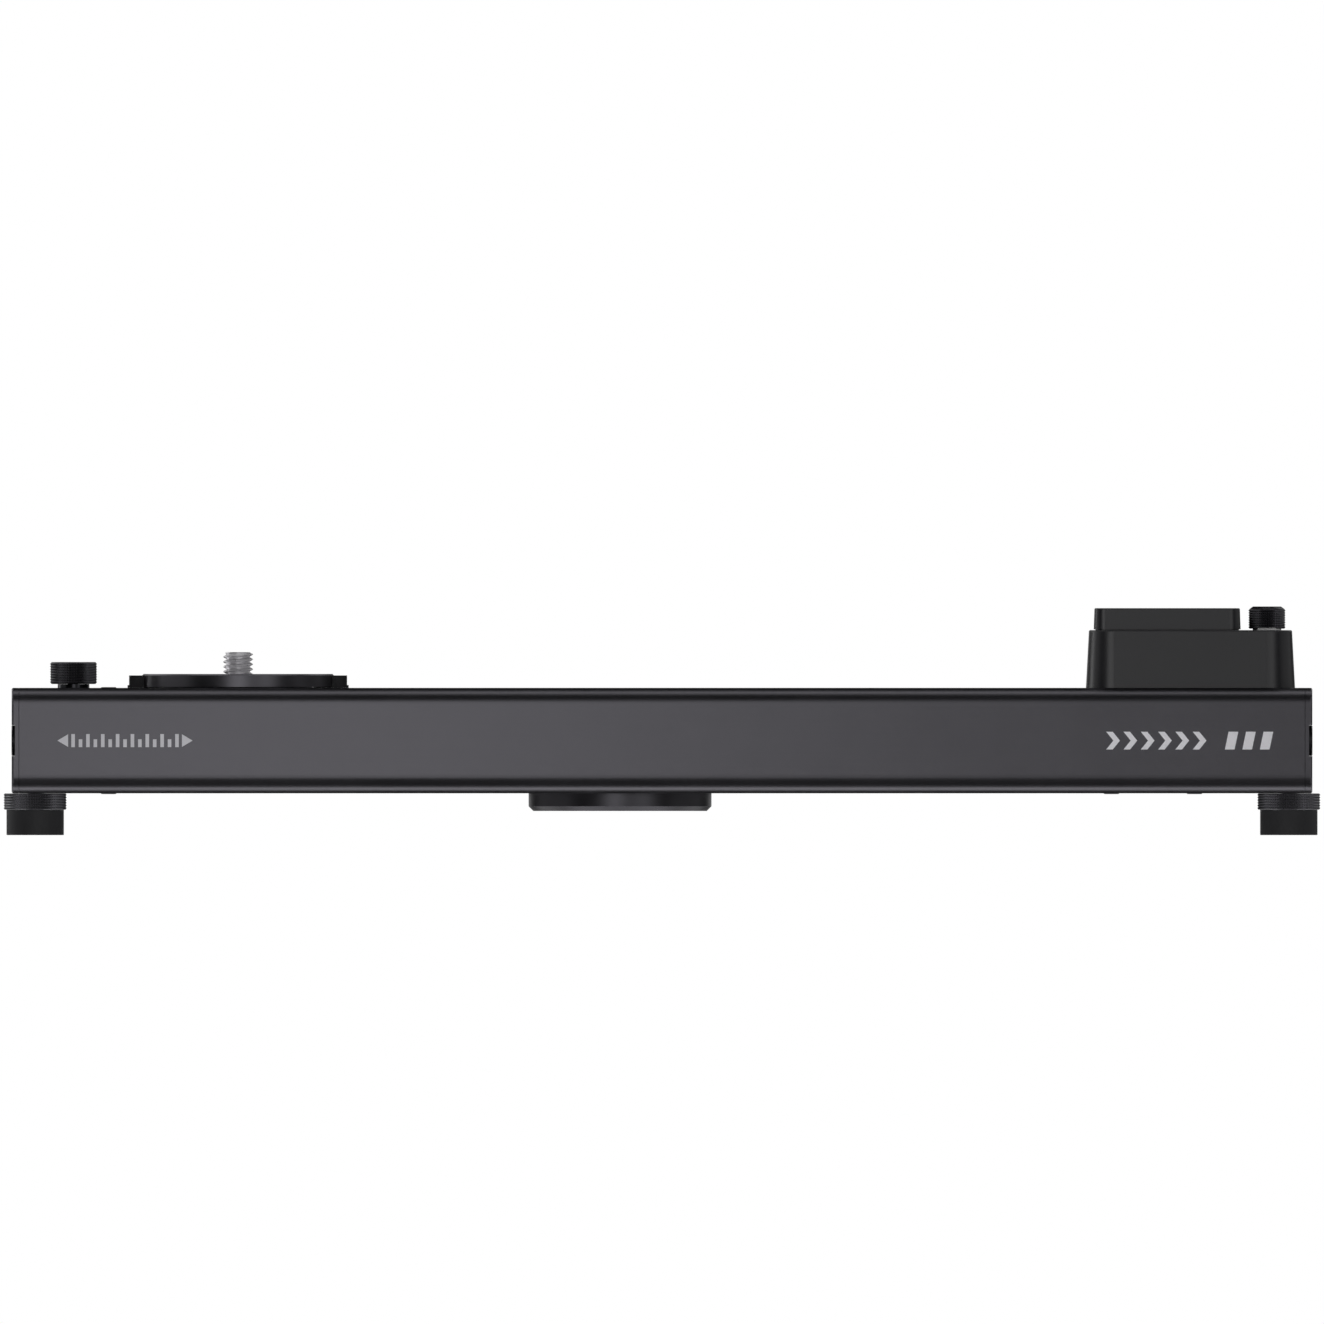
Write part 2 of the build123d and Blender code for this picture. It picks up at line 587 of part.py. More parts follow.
def motor_can():
    """Steel can of the motor, open at the top for the shaft."""
    can = rod(MOTOR_RADIUS, MOTOR_BOTTOM, RAIL_TOP)
    can = fillet(edges_at(can, MOTOR_BOTTOM), 1.0)
    can -= rod(MOTOR_RADIUS - 1, MOTOR_BOTTOM + 1, RAIL_TOP - 1)
    can -= rod(MOTOR_SHAFT + RUN_GAP, RAIL_TOP - 2, RAIL_TOP + 1)
    return Pos(MOTOR_X, MOTOR_Y, 0) * can


def motor_base_plate():
    """Plate on the rail that carries the upper bearing, the motor and the board posts."""
    plate = block((138.4, 200.4), (-29.6, 29.6), (RAIL_TOP, PLATE_TOP))
    plate = fillet(plate.edges().filter_by(Axis.Z), 7)
    plate += block((200.05, RAIL_END), (-19.95, 19.95), (ROOF_UNDER, RAIL_TOP))
    plate += block((196, 200.4), (-19.95, 19.95), (ROOF_UNDER, RAIL_TOP))
    plate += rod(7.5, 42.6, RAIL_TOP, DRIVE_X)
    plate -= rod(BEARING_RADIUS, 43.0, 47.0, DRIVE_X)
    plate -= rod(3.6, 42, PLATE_TOP + 1, DRIVE_X)
    plate -= rod(3.0, RAIL_TOP - 1, PLATE_TOP + 1, MOTOR_X, MOTOR_Y)
    for x, y in POSTS:
        plate += rod(3.4, PLATE_TOP, BOARD_BOTTOM, x, y)
        plate -= rod(1.1, RAIL_TOP - 1, BOARD_BOTTOM, x, y)
    return plate


# --- housing and controls ---------------------------------------------------------------------
def motor_housing():
    """Drafted cover over the motor end, with an opening under the control deck."""
    outer = RectangleRounded(HOUSING_LENGTH, HOUSING_WIDTH, HOUSING_CORNER)
    shell = prism(outer, RAIL_TOP, HOUSING_TOP, HOUSING_X, draft=HOUSING_DRAFT)
    shell = fillet(edges_at(shell, HOUSING_TOP), 0.5)
    inner_length, inner_width = HOUSING_LENGTH - 2 * HOUSING_WALL, HOUSING_WIDTH - 2 * HOUSING_WALL
    inner = RectangleRounded(inner_length, inner_width, HOUSING_CORNER - HOUSING_WALL)
    shell -= prism(inner, RAIL_TOP, HOUSING_TOP - HOUSING_WALL, HOUSING_X, draft=HOUSING_DRAFT)
    shell -= block((141, 183), (-26.5, 26.5), (HOUSING_TOP - 3, HOUSING_TOP + 1))
    shell -= rod(3.6, HOUSING_TOP - 3, HOUSING_TOP + 1, CONTROL_X)
    shell -= Pos(160, 30, 60.75) * Box(9.5, 8, 3.8)
    for x, y in POSTS:
        post = rod(3.0, BOARD_TOP, HOUSING_TOP - HOUSING_WALL + 0.5, x, y)
        shell += post - rod(1.1, BOARD_TOP, 62, x, y)
    return shell


def housing_screws():
    """Screws from below through the plate and the board into the housing."""
    screws = []
    for x, y in POSTS:
        screws.append(rod(2.2, RAIL_TOP - 1.6, RAIL_TOP, x, y) + rod(1.1, RAIL_TOP, 62, x, y))
    return screws


def control_board():
    """Main circuit board with two chips."""
    board = block((140.8, 199.2), (-27.5, 27.5), (BOARD_BOTTOM, BOARD_TOP))
    board = fillet(board.edges().filter_by(Axis.Z), 5)
    for x, y in POSTS:
        board -= rod(1.1, BOARD_BOTTOM, BOARD_TOP, x, y)
    board += block((184, 190), (-18, -12), (BOARD_TOP, BOARD_TOP + 1))
    return board + block((184, 190), (12, 18), (BOARD_TOP, BOARD_TOP + 1))


def battery_pack():
    pack = block((147, 181), (-25, 21), (60.3, 66.5))
    return fillet(pack.edges().filter_by(Axis.Y), 1.5)


def usb_socket():
    """Charging socket in the back wall."""
    place = Plane.XZ * Pos(160, 60.75)
    shell = extrude(place * RectangleRounded(8.94, 3.26, 1.5), 3.75, both=True)
    hollow = extrude(place * RectangleRounded(8.3, 2.6, 1.2), 2.9, both=True)
    tongue = extrude(place * Rectangle(6.6, 0.7), 2.5, both=True)
    return Pos(0, 27.25, 0) * (shell - Pos(0, 0.9, 0) * hollow + Pos(0, -0.4, 0) * tongue)


def encoder_body():
    """Push-turn encoder with its threaded bushing."""
    body = block((CONTROL_X - 5.5, CONTROL_X + 5.0), (-5.5, 5.5), (BOARD_TOP, HOUSING_TOP - HOUSING_WALL))
    body += rod(BUSHING_RADIUS, HOUSING_TOP - HOUSING_WALL, NUT_TOP, CONTROL_X)
    return body - rod(ENCODER_SHAFT + RUN_GAP, 59.3, 67, CONTROL_X)


def encoder_nut():
    """Thin round nut with two spanner flats under the control knob."""
    nut = rod(4.6, HOUSING_TOP, NUT_TOP) - rod(BUSHING_RADIUS, HOUSING_TOP, NUT_TOP)
    nut &= block((-5, 5), (-3.4, 3.4), (HOUSING_TOP, NUT_TOP))
    return Pos(CONTROL_X, 0, 0) * nut


def encoder_plunger():
    """Disc under the shaft that presses the encoder's switch."""
    return rod(1.8, 59.75, 60.15, CONTROL_X)


def control_knob():
    """Knurled control knob with an index notch in its skirt, and the shaft pressed into it."""
    knob = rod(CONTROL_RADIUS, CONTROL_BOTTOM, CONTROL_TOP)
    knob = chamfer(edges_at(knob, CONTROL_TOP), 0.93, 1.4)
    knob = chamfer(edges_at(knob, CONTROL_BOTTOM), 0.3)
    knob -= rod(4.75, CONTROL_BOTTOM, NUT_TOP + 0.6) + rod(ENCODER_SHAFT, CONTROL_BOTTOM, 71)
    knob -= block((-NOTCH_HALF, NOTCH_HALF), (-CONTROL_RADIUS - 1, -3), (CONTROL_BOTTOM, NUT_TOP))
    return [Pos(CONTROL_X, 0, 0) * knob, rod(ENCODER_SHAFT, 60.2, 71, CONTROL_X)]


def control_deck():
    """Raised lid with the display opening and the button holes."""
    outer = RectangleRounded(DECK_LENGTH, DECK_WIDTH, 3.6)
    deck = prism(outer, HOUSING_TOP + DECK_GAP, DECK_TOP, DECK_X, draft=DECK_DRAFT)
    deck = fillet(edges_at(deck, DECK_TOP), 0.4)
    foot = RectangleRounded(DECK_LENGTH - 1, DECK_WIDTH - 1, 3.1)
    deck += prism(foot, HOUSING_TOP, HOUSING_TOP + 2, DECK_X)
    inner = RectangleRounded(DECK_LENGTH - 2 * DECK_WALL, DECK_WIDTH - 2 * DECK_WALL, 2)
    deck -= prism(inner, HOUSING_TOP, DECK_TOP - DECK_WALL, DECK_X, draft=DECK_DRAFT)
    window = RectangleRounded(34, 20, 1.5)
    deck -= prism(window, DECK_TOP - 1, DECK_TOP + 1, DECK_X, DISPLAY_Y)
    deck -= block((DECK_X - 15, DECK_X + 15), (DISPLAY_Y - 8, DISPLAY_Y + 8), (DECK_TOP - 3, DECK_TOP))
    for x in BUTTONS.values():
        deck -= rod(BUTTON_RADIUS + 0.15, DECK_TOP - 3, DECK_TOP + 1, x, BUTTON_Y)
    return deck


def display_window():
    return prism(RectangleRounded(33.9, 19.9, 1.45), DECK_TOP - 1, DECK_TOP - 0.05, DECK_X, DISPLAY_Y)


def display_module():
    """Key board under the deck, and the display panel on it."""
    board = block((DECK_X - 20, DECK_X + 20), (-26, 26), (66.9, 68.1))
    panel = block((DECK_X - 14, DECK_X + 14), (DISPLAY_Y - 7, DISPLAY_Y + 7), (68.1, 71.0))
    return [board, panel]


def push_button(x):
    """Round key cap with a retaining flange under the deck."""
    cap = rod(BUTTON_RADIUS, 69.0, DECK_TOP - 0.06)
    cap = fillet(edges_at(cap, DECK_TOP - 0.06), 0.4)
    return Pos(x, BUTTON_Y, 0) * (cap + rod(5.3, 70.1, 71.1))


# --- write one file for each node ---------------------------------------------------------------
SINGLE = [
    rail_extrusion, end_plate_screws, end_blocks, side_thread_inserts, guide_rods, rail_screws,
    base_disc, base_disc_screws, thread_adaptor, idler_axle, idler_pulley, drive_belt, idler_cover,
    lock_bush, lock_knob, brake_pad, carriage_saddle, camera_disc, grip_pad, camera_screw,
    carriage_bumpers, roller_axles, belt_clamp, carriage_screws, bearing_block, shaft_bearings,
    drive_shaft, drive_pulley, drive_gear, motor_rotor, motor_can, motor_base_plate, motor_housing,
    housing_screws, control_board, battery_pack, usb_socket, encoder_body, encoder_nut,
    encoder_plunger, control_knob, control_deck, display_window, display_module,
]  # fmt: skip


def all_nodes():
    """Every node's name and the solid or solids that it holds."""
    nodes = {make.__name__: make() for make in SINGLE}
    nodes["end_plate_left"] = end_plate(-1)
    nodes["end_plate_right"] = end_plate(1)
    for corner, place in FOOT_CORNERS.items():
        nodes[f"foot_pad_{corner}"] = foot_pad(*place)
        nodes[f"foot_ring_{corner}"] = foot_ring(*place)
    for name, place in roller_places().items():
        nodes[name] = roller(*place)
    for name, x in BUTTONS.items():
        nodes[name] = push_button(x)
    return nodes


def main():
    os.makedirs("parts", exist_ok=True)
    for name, made in all_nodes().items():
        solids = made if isinstance(made, list) else [made]
        shape = Compound(children=[s for piece in solids for s in piece.solids()])
        shape.label = name
        export_step(shape, f"parts/{name}.step")


main()
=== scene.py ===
"""Looks of a motorised camera slider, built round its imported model.

Everything is in metres, in the model's own frame: X along the rail, the front towards -Y, Z up.
"""

import math

import bpy
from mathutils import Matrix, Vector


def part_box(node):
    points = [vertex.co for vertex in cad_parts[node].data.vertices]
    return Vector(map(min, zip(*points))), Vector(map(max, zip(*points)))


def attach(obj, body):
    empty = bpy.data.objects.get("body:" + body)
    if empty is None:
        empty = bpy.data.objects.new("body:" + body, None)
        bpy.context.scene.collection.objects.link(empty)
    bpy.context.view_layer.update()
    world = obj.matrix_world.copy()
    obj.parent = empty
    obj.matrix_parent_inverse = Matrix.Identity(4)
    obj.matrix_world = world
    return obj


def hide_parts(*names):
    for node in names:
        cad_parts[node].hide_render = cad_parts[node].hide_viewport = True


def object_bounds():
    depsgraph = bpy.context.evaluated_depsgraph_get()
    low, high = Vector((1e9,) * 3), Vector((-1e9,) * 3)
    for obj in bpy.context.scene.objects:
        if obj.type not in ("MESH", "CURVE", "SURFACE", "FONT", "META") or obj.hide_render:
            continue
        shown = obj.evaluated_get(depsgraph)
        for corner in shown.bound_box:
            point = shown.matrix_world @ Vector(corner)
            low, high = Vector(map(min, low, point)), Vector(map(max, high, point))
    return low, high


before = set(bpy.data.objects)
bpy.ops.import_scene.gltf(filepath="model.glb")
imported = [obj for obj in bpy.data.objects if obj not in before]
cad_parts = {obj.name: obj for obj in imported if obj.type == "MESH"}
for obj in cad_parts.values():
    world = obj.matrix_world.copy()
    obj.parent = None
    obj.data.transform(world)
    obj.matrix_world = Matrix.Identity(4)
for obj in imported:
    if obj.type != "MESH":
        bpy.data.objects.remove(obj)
CAD_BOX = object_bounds()

bl_info = {
    "name": "Camera slider",
    "version": (1, 0, 0),
    "blender": (4, 5, 0),
    "location": "3D View > Sidebar > Slider",
    "description": "Finishes, knurls, threads and markings of a motorised camera slider",
    "category": "Object",
}

MM = 0.001
INCH = 25.4 * MM
TURN = 2 * math.pi
CORNERS = ("front_left", "front_right", "back_left", "back_right")

# Radii of the 1/4 inch inner threads at their crest and root.
QUARTER_INCH_THREAD = (2.55 * MM, 3.15 * MM)


def centre_of(node):
    """Middle of a CAD node in plan."""
    low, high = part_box(node)
    return (low.x + high.x) / 2, (low.y + high.y) / 2


def radius_of(node):
    """Radius of a round CAD node."""
    low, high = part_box(node)
    return (high.x - low.x) / 2


# --- sizes and colours that a user would change ------------------------------------------


def length(name, description, default):
    """A size that the sidebar shows as a length."""
    return bpy.props.FloatProperty(
        name=name, description=description, default=default, precision=5, unit="LENGTH"
    )


def number(name, description, default):
    """A whole number of rows or teeth."""
    return bpy.props.IntProperty(name=name, description=description, default=default, min=1)


def colour(name, description, default):
    """A colour that the sidebar shows as a swatch."""
    return bpy.props.FloatVectorProperty(
        name=name, description=description, default=default, subtype="COLOR", size=3, min=0, max=1
    )


class SliderSizes(bpy.types.PropertyGroup):
    """Sizes of the knurls, threads and markings."""

    knurl_depth: length("Knurl depth", "Height of a knurl's pyramids", 0.3 * MM)
    ring_rows: number("Ring rows", "Knurl rows on a foot ring", 6)
    ring_teeth: number("Ring teeth", "Knurl teeth round a foot ring", 80)
    lock_rows: number("Lock rows", "Knurl rows on the lock knob", 8)
    lock_teeth: number("Lock teeth", "Knurl teeth round the lock knob", 60)
    dial_rows: number("Dial rows", "Knurl rows on the control knob", 8)
    dial_teeth: number("Dial teeth", "Knurl teeth round the control knob", 52)
    stud_pitch: length("Stud pitch", "Pitch of the 3/8 inch-16 camera stud", INCH / 16)
    foot_pitch: length("Foot pitch", "Pitch of the foot stems", 1.0 * MM)
    lock_pitch: length("Lock pitch", "Pitch of the lock screw", 0.7 * MM)
    insert_pitch: length("Insert pitch", "Pitch of the 1/4 inch-20 threads", INCH / 20)
    belt_pitch: length("Belt pitch", "Distance between belt teeth", 2.0 * MM)
    ink: length("Ink thickness", "How far a marking stands on its face", 0.02 * MM)


class SliderColours(bpy.types.PropertyGroup):
    """Base colours of the finishes."""

    anodised: colour("Anodised", "Rail, end plates and platform", (0.118, 0.115, 0.127))
    black: colour("Black anodised", "Knurled parts", (0.078, 0.077, 0.085))
    shell: colour("Shell", "Motor housing and control deck", (0.004, 0.0038, 0.007))
    stud: colour("Stud", "Camera stud", (0.95, 0.94, 0.97))
    steel: colour("Steel", "Guide rods, shafts and motor", (0.86, 0.85, 0.86))
    rubber: colour("Rubber", "Feet, bumpers, grip ring and belt", (0.014, 0.014, 0.016))
    ink: colour("Ink", "Printed markings", (0.56, 0.555, 0.585))


class StudioSettings(bpy.types.PropertyGroup):
    """Camera and light."""

    distance: length("Camera distance", "From the camera to the slider", 1.5)
    eye_height: length("Eye height", "Height of the level line of sight", 55.5 * MM)
    margin: bpy.props.FloatProperty(
        name="Margin", description="Picture width over the slider's length", default=1.0056
    )
    fill: bpy.props.FloatProperty(
        name="Fill", description="Radiance of the room round the lights", default=0.006
    )


# --- mesh tools --------------------------------------------------------------------------


class Shell:
    """Points and faces gathered for one piece, about its own Z axis."""

    # A thread's flank ends this far from the middle of its crest, and is this wide, in pitches.
    FLANK_END, FLANK_WIDTH = 0.43, 0.37
    # Share of its height that a thread keeps at its two ends.
    END_HEIGHT = 0.35

    def __init__(self):
        self.points = []
        self.faces = []

    def ring(self, radius, z, count, turn=0.0):
        """Circle of points. The radius may be a function of the angle."""
        first = len(self.points)
        for i in range(count):
            angle = TURN * (i + turn) / count
            r = radius(angle) if callable(radius) else radius
            self.points.append((r * math.cos(angle), r * math.sin(angle), z))
        return list(range(first, first + count))

    def bridge(self, lower, upper):
        """Band of faces between two rings, facing out when the second is above."""
        count = len(lower)
        for i in range(count):
            j = (i + 1) % count
            self.faces.append((lower[i], lower[j], upper[j], upper[i]))

    def bridge_all(self, rings, loop=False):
        """Bands between neighbouring rings, and in a loop from the last back to the first."""
        for lower, upper in zip(rings, rings[1:]):
            self.bridge(lower, upper)
        if loop:
            self.bridge(rings[-1], rings[0])

    def cap(self, ring, up):
        """Closes a ring with a fan about its middle."""
        middle = len(self.points)
        self.points.append((0.0, 0.0, self.points[ring[0]][2]))
        count = len(ring)
        for i in range(count):
            side = (ring[i], ring[(i + 1) % count])
            self.faces.append((*(side if up else reversed(side)), middle))

    def lathe(self, profile, count):
        """Rings for each radius and height of a profile."""
        return [self.ring(r, z, count) for r, z in profile]

    def knurl(self, radius, depth, bottom, top, rows, teeth):
        """Wall of square pyramids. Gives its lowest and highest ring."""
        grooves = [
            self.ring(radius - depth, bottom + (top - bottom) * row / rows, 2 * teeth)
            for row in range(rows + 1)
        ]
        for row, (lower, upper) in enumerate(zip(grooves, grooves[1:])):
            height = bottom + (top - bottom) * (row + 0.5) / rows
            tips = self.ring(radius, height, teeth, turn=0.5)
            for tooth, tip in enumerate(tips):
                a, b, c = (2 * tooth + step for step in (0, 1, 2))
                c %= 2 * teeth
                rim = [lower[a], lower[b], lower[c], upper[c], upper[b], upper[a]]
                self.faces += [(rim[i], rim[(i + 1) % 6], tip) for i in range(6)]
        return grooves[0], grooves[-1]

    def thread(self, crest, root, pitch, bottom, top, count=48, steps=10, run_out=0.6):
        """Rings of a right-hand thread. A root larger than the crest makes an inner thread.

        Steps is the number of rings in a pitch, and run_out the pitches in which its ends fade.
        """
        rings = []
        rows = max(2, round((top - bottom) / pitch * steps))
        for row in range(rows + 1):
            z = bottom + (top - bottom) * row / rows
            near_end = min(1.0, min(z - bottom, top - z) / (run_out * pitch))

            def wall(angle, z=z, near_end=near_end):
                phase = (z / pitch - angle / TURN) % 1.0
                rise = (self.FLANK_END - abs(phase - 0.5)) / self.FLANK_WIDTH
                height = min(1.0, max(0.0, rise))
                fade = self.END_HEIGHT + (1 - self.END_HEIGHT) * near_end
                return root + (crest - root) * height * fade

            rings.append(self.ring(wall, z, count))
        return rings

    def make(self, name, finish, sharp=32):
        """The gathered mesh as a piece, smooth except at sharp edges."""
        mesh = bpy.data.meshes.new(name)
        mesh.from_pydata(self.points, [], self.faces)
        mesh.polygons.foreach_set("use_smooth", [True] * len(mesh.polygons))
        mesh.set_sharp_from_angle(angle=math.radians(sharp))
        mesh.materials.append(finish)
        piece = bpy.data.objects.new(name, mesh)
        bpy.context.scene.collection.objects.link(piece)
        return piece


def hexagon(across):
    """Radius of a hexagon, measured across its flats, at each angle."""
    return lambda angle: across / 2 / math.cos((angle % (TURN / 6)) - TURN / 12)


def settle(piece, node, body):
    """Puts a piece on the axis of the CAD node that it stands for."""
    x, y = centre_of(node)
    piece.location = (x, y, 0)
    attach(piece, body)
    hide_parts(node)
    return piece


# --- marks: flat shapes printed on a face ------------------------------------------------


def bar(x, y, width, height):
    """Rectangle about a middle point."""
    w, h = width / 2, height / 2
    return [(x - w, y - h), (x + w, y - h), (x + w, y + h), (x - w, y + h)]


def leaning_bar(x, width, height, lean):
    """Upright bar whose top leans towards +X."""
    w, h, slip = width / 2, height / 2, lean / 2
    return [(x - w - slip, -h), (x + w - slip, -h), (x + w + slip, h), (x - w + slip, h)]


def arrow_head(tip, y, size, pointing):
    """Triangle whose tip points along +X or -X."""
    back = tip - pointing * size
    points = [(tip, y), (back, y + size * 0.6), (back, y - size * 0.6)]
    return points if pointing > 0 else points[::-1]


def chevron(x, y, width, height, thick):
    """Sharp bracket that points along +X."""
    w, h = width / 2, height / 2
    return [
        (x - w, y - h),
        (x - w + thick, y - h),
        (x + w, y),
        (x - w + thick, y + h),
        (x - w, y + h),
        (x + w - thick, y),
    ]


def print_marks(name, shapes, finish, place, ink):
    """Thin closed prisms from flat outlines.

    Place turns a flat point and a height over the face into a point in space.
    """
    mark = Shell()
    for outline in shapes:
        first = len(mark.points)
        count = len(outline)
        for height in (0.0, ink):
            mark.points += [place(x, y, height) for x, y in outline]
        under = list(range(first, first + count))
        over = [i + count for i in under]
        mark.faces.append(tuple(reversed(under)))
        mark.faces.append(tuple(over))
        mark.bridge(under, over)
    return mark.make(name, finish, sharp=20)


# --- shader tools ------------------------------------------------------------------------


class Signal:
    """A shader value that takes part in ordinary sums."""

    def __init__(self, finish, socket):
        self.finish = finish
        self.socket = socket

    def maths(self, operation, first, second):
        return self.finish.node("ShaderNodeMath", {"operation": operation}, {0: first, 1: second})

    def __add__(self, other):
        return self.maths("ADD", self, other)

    def __radd__(self, other):
        return self.maths("ADD", other, self)

    def __mul__(self, other):
        return self.maths("MULTIPLY", self, other)

    def __rmul__(self, other):
        return self.maths("MULTIPLY", other, self)

    def __gt__(self, other):
        return self.maths("GREATER_THAN", self, other)


class NodeTree:
    """The nodes of a material or a world, and the single way in which they are made."""

    def __init__(self, owner):
        owner.use_nodes = True
        self.tree = owner.node_tree
        self.tree.nodes.clear()

    def node(self, kind, settings=None, inputs=None, output=0):
        """Makes a node of one kind, with its settings first, and gives one of its outputs."""
        node = self.tree.nodes.new(kind)
        for key, value in (settings or {}).items():
            if key == "stops":
                self.set_stops(node.color_ramp.elements, value)
            else:
                setattr(node, key, value)
        for key, value in (inputs or {}).items():
            if isinstance(value, Signal):
                self.tree.links.new(value.socket, node.inputs[key])
            else:
                node.inputs[key].default_value = value
        return Signal(self, node.outputs[output]) if node.outputs else node

    @staticmethod
    def set_stops(elements, stops):
        for element, (position, level) in zip(elements, stops):
            element.position = position
            element.color = (level, level, level, 1)


class Finish(NodeTree):
    """One material and the patterns that its surface is made of."""

    def __init__(self, name):
        self.material = bpy.data.materials.new(name)
        super().__init__(self.material)

    def place(self, stretch=(1, 1, 1)):
        """Position on the piece, in metres, stretched along its axes."""
        here = self.node("ShaderNodeTexCoord", output="Object")
        return self.node(
            "ShaderNodeVectorMath", {"operation": "MULTIPLY"}, {0: here, 1: stretch}
        )

    def noise(self, grain, detail=2.0, stretch=(1, 1, 1)):
        """Smooth random value from 0 to 1 whose patches are about one grain wide."""
        return self.node(
            "ShaderNodeTexNoise",
            {"noise_dimensions": "3D"},
            {"Vector": self.place(stretch), "Scale": 1 / grain, "Detail": detail},
        )

    def steps(self, value, low, high):
        """Value spread out between two levels."""
        return self.node("ShaderNodeValToRGB", {"stops": ((low, 0.0), (high, 1.0))}, {0: value})

    def blend(self, amount, first, second):
        """Colour between two colours."""
        return self.node(
            "ShaderNodeMix",
            {"data_type": "RGBA"},
            {0: amount, 6: (*first, 1), 7: (*second, 1)},
            output=2,
        )

    def bump(self, height, depth, strength=1.0):
        """Relief whose full height is one depth."""
        return self.node(
            "ShaderNodeBump", inputs={"Height": height, "Distance": depth, "Strength": strength}
        )

    def surface(self, **inputs):
        """Principled surface. Underscores in the names stand for spaces."""
        sockets = {key.replace("_", " "): value for key, value in inputs.items()}
        shader = self.node("ShaderNodeBsdfPrincipled", inputs=sockets)
        self.node("ShaderNodeOutputMaterial", inputs={"Surface": shader})
        return self.material


def shade(base, factor):
    """A lighter or darker version of a colour."""
    return tuple(min(1.0, level * factor) for level in base)


# --- finishes ----------------------------------------------------------------------------


def blasted(name, base, roughness, metallic, spread=0.08, lines=False):
    """Bead-blasted and anodised aluminium, with faint drawing lines on an extrusion."""
    f = Finish(name)
    cloud = f.steps(f.noise(26 * MM, detail=3.0), low=0.3, high=0.7)
    blast = f.noise(0.16 * MM, detail=1.0)
    grain = 0.5 * cloud + 0.5 * blast
    if lines:
        grain = 0.7 * grain + 0.3 * f.noise(0.5 * MM, detail=2.0, stretch=(0.004, 1, 1))
    return f.surface(
        Base_Color=f.blend(grain, shade(base, 1 - spread), shade(base, 1 + spread)),
        Roughness=roughness - 0.03 + 0.06 * grain,
        Metallic=metallic,
        Normal=f.bump(blast, 0.004 * MM, strength=0.5),
    )


def machined(name, base, roughness, stretch=(1, 1, 60), depth=0.004):
    """Turned or ground metal with fine tool lines across the stretched axis. Depth is in mm."""
    f = Finish(name)
    lines = f.noise(2.0 * MM, detail=2.0, stretch=stretch)
    cloud = f.noise(6 * MM, detail=2.0)
    return f.surface(
        Base_Color=f.blend(cloud, shade(base, 0.9), shade(base, 1.05)),
        Roughness=roughness - 0.04 + 0.08 * lines,
        Metallic=1.0,
        Normal=f.bump(lines, depth * MM, strength=0.6),
    )


def moulded(name, base, roughness, grain=0.25, depth=0.01, spread=0.12, gloss=0.5):
    """Plastic with the fine spark texture of its mould. Grain and depth are in mm."""
    f = Finish(name)
    texture = f.noise(grain * MM, detail=2.0)
    cloud = f.noise(14 * MM, detail=3.0)
    mottle = 0.5 * texture + 0.5 * cloud
    return f.surface(
        Base_Color=f.blend(mottle, shade(base, 1 - spread), shade(base, 1 + spread)),
        Roughness=roughness - 0.04 + 0.08 * mottle,
        Specular_IOR_Level=gloss,
        Normal=f.bump(texture, depth * MM, strength=0.7),
    )


def rubbery(name, base, roughness=0.62):
    """Moulded rubber with a dull bloom."""
    f = Finish(name)
    bloom = f.steps(f.noise(5 * MM, detail=4.0), low=0.35, high=0.75)
    fine = f.noise(0.3 * MM, detail=2.0)
    return f.surface(
        Base_Color=f.blend(0.7 * bloom + 0.3 * fine, base, shade(base, 1.6)),
        Roughness=roughness - 0.05 + 0.1 * bloom,
        Normal=f.bump(fine, 0.012 * MM, strength=0.6),
    )


def printed(name, base):
    """Screen-printed silver ink, slightly uneven."""
    f = Finish(name)
    cover = f.noise(0.5 * MM, detail=2.0)
    return f.surface(
        Base_Color=f.blend(cover, shade(base, 0.95), shade(base, 1.04)),
        Roughness=0.36 + 0.08 * cover,
        Metallic=1.0,
        Normal=f.bump(cover, 0.003 * MM, strength=0.5),
    )


def glossy(name, base):
    """Smoked window with the faintest wipe marks."""
    f = Finish(name)
    wipe = f.noise(8 * MM, detail=3.0, stretch=(1, 0.3, 1))
    return f.surface(
        Base_Color=f.blend(wipe, base, shade(base, 1.4)),
        Roughness=0.05 + 0.05 * wipe,
        Normal=f.bump(wipe, 0.002 * MM, strength=0.3),
    )


def lit(name, base):
    """Display segments that glow evenly through their window."""
    f = Finish(name)
    cell = f.noise(0.4 * MM, detail=1.0)
    return f.surface(
        Base_Color=f.blend(cell, shade(base, 0.8), base),
        Roughness=0.4 + 0.1 * cell,
        Emission_Color=f.blend(cell, shade(base, 0.85), base),
        Emission_Strength=0.55,
    )


def circuit(name, base):
    """Solder mask over copper tracks."""
    f = Finish(name)
    tracks = f.noise(1.2 * MM, detail=1.0, stretch=(1, 3, 1)) > 0.52
    return f.surface(
        Base_Color=f.blend(tracks, base, shade(base, 1.9)),
        Roughness=0.28 + 0.1 * tracks,
        Normal=f.bump(tracks, 0.03 * MM, strength=0.5),
    )


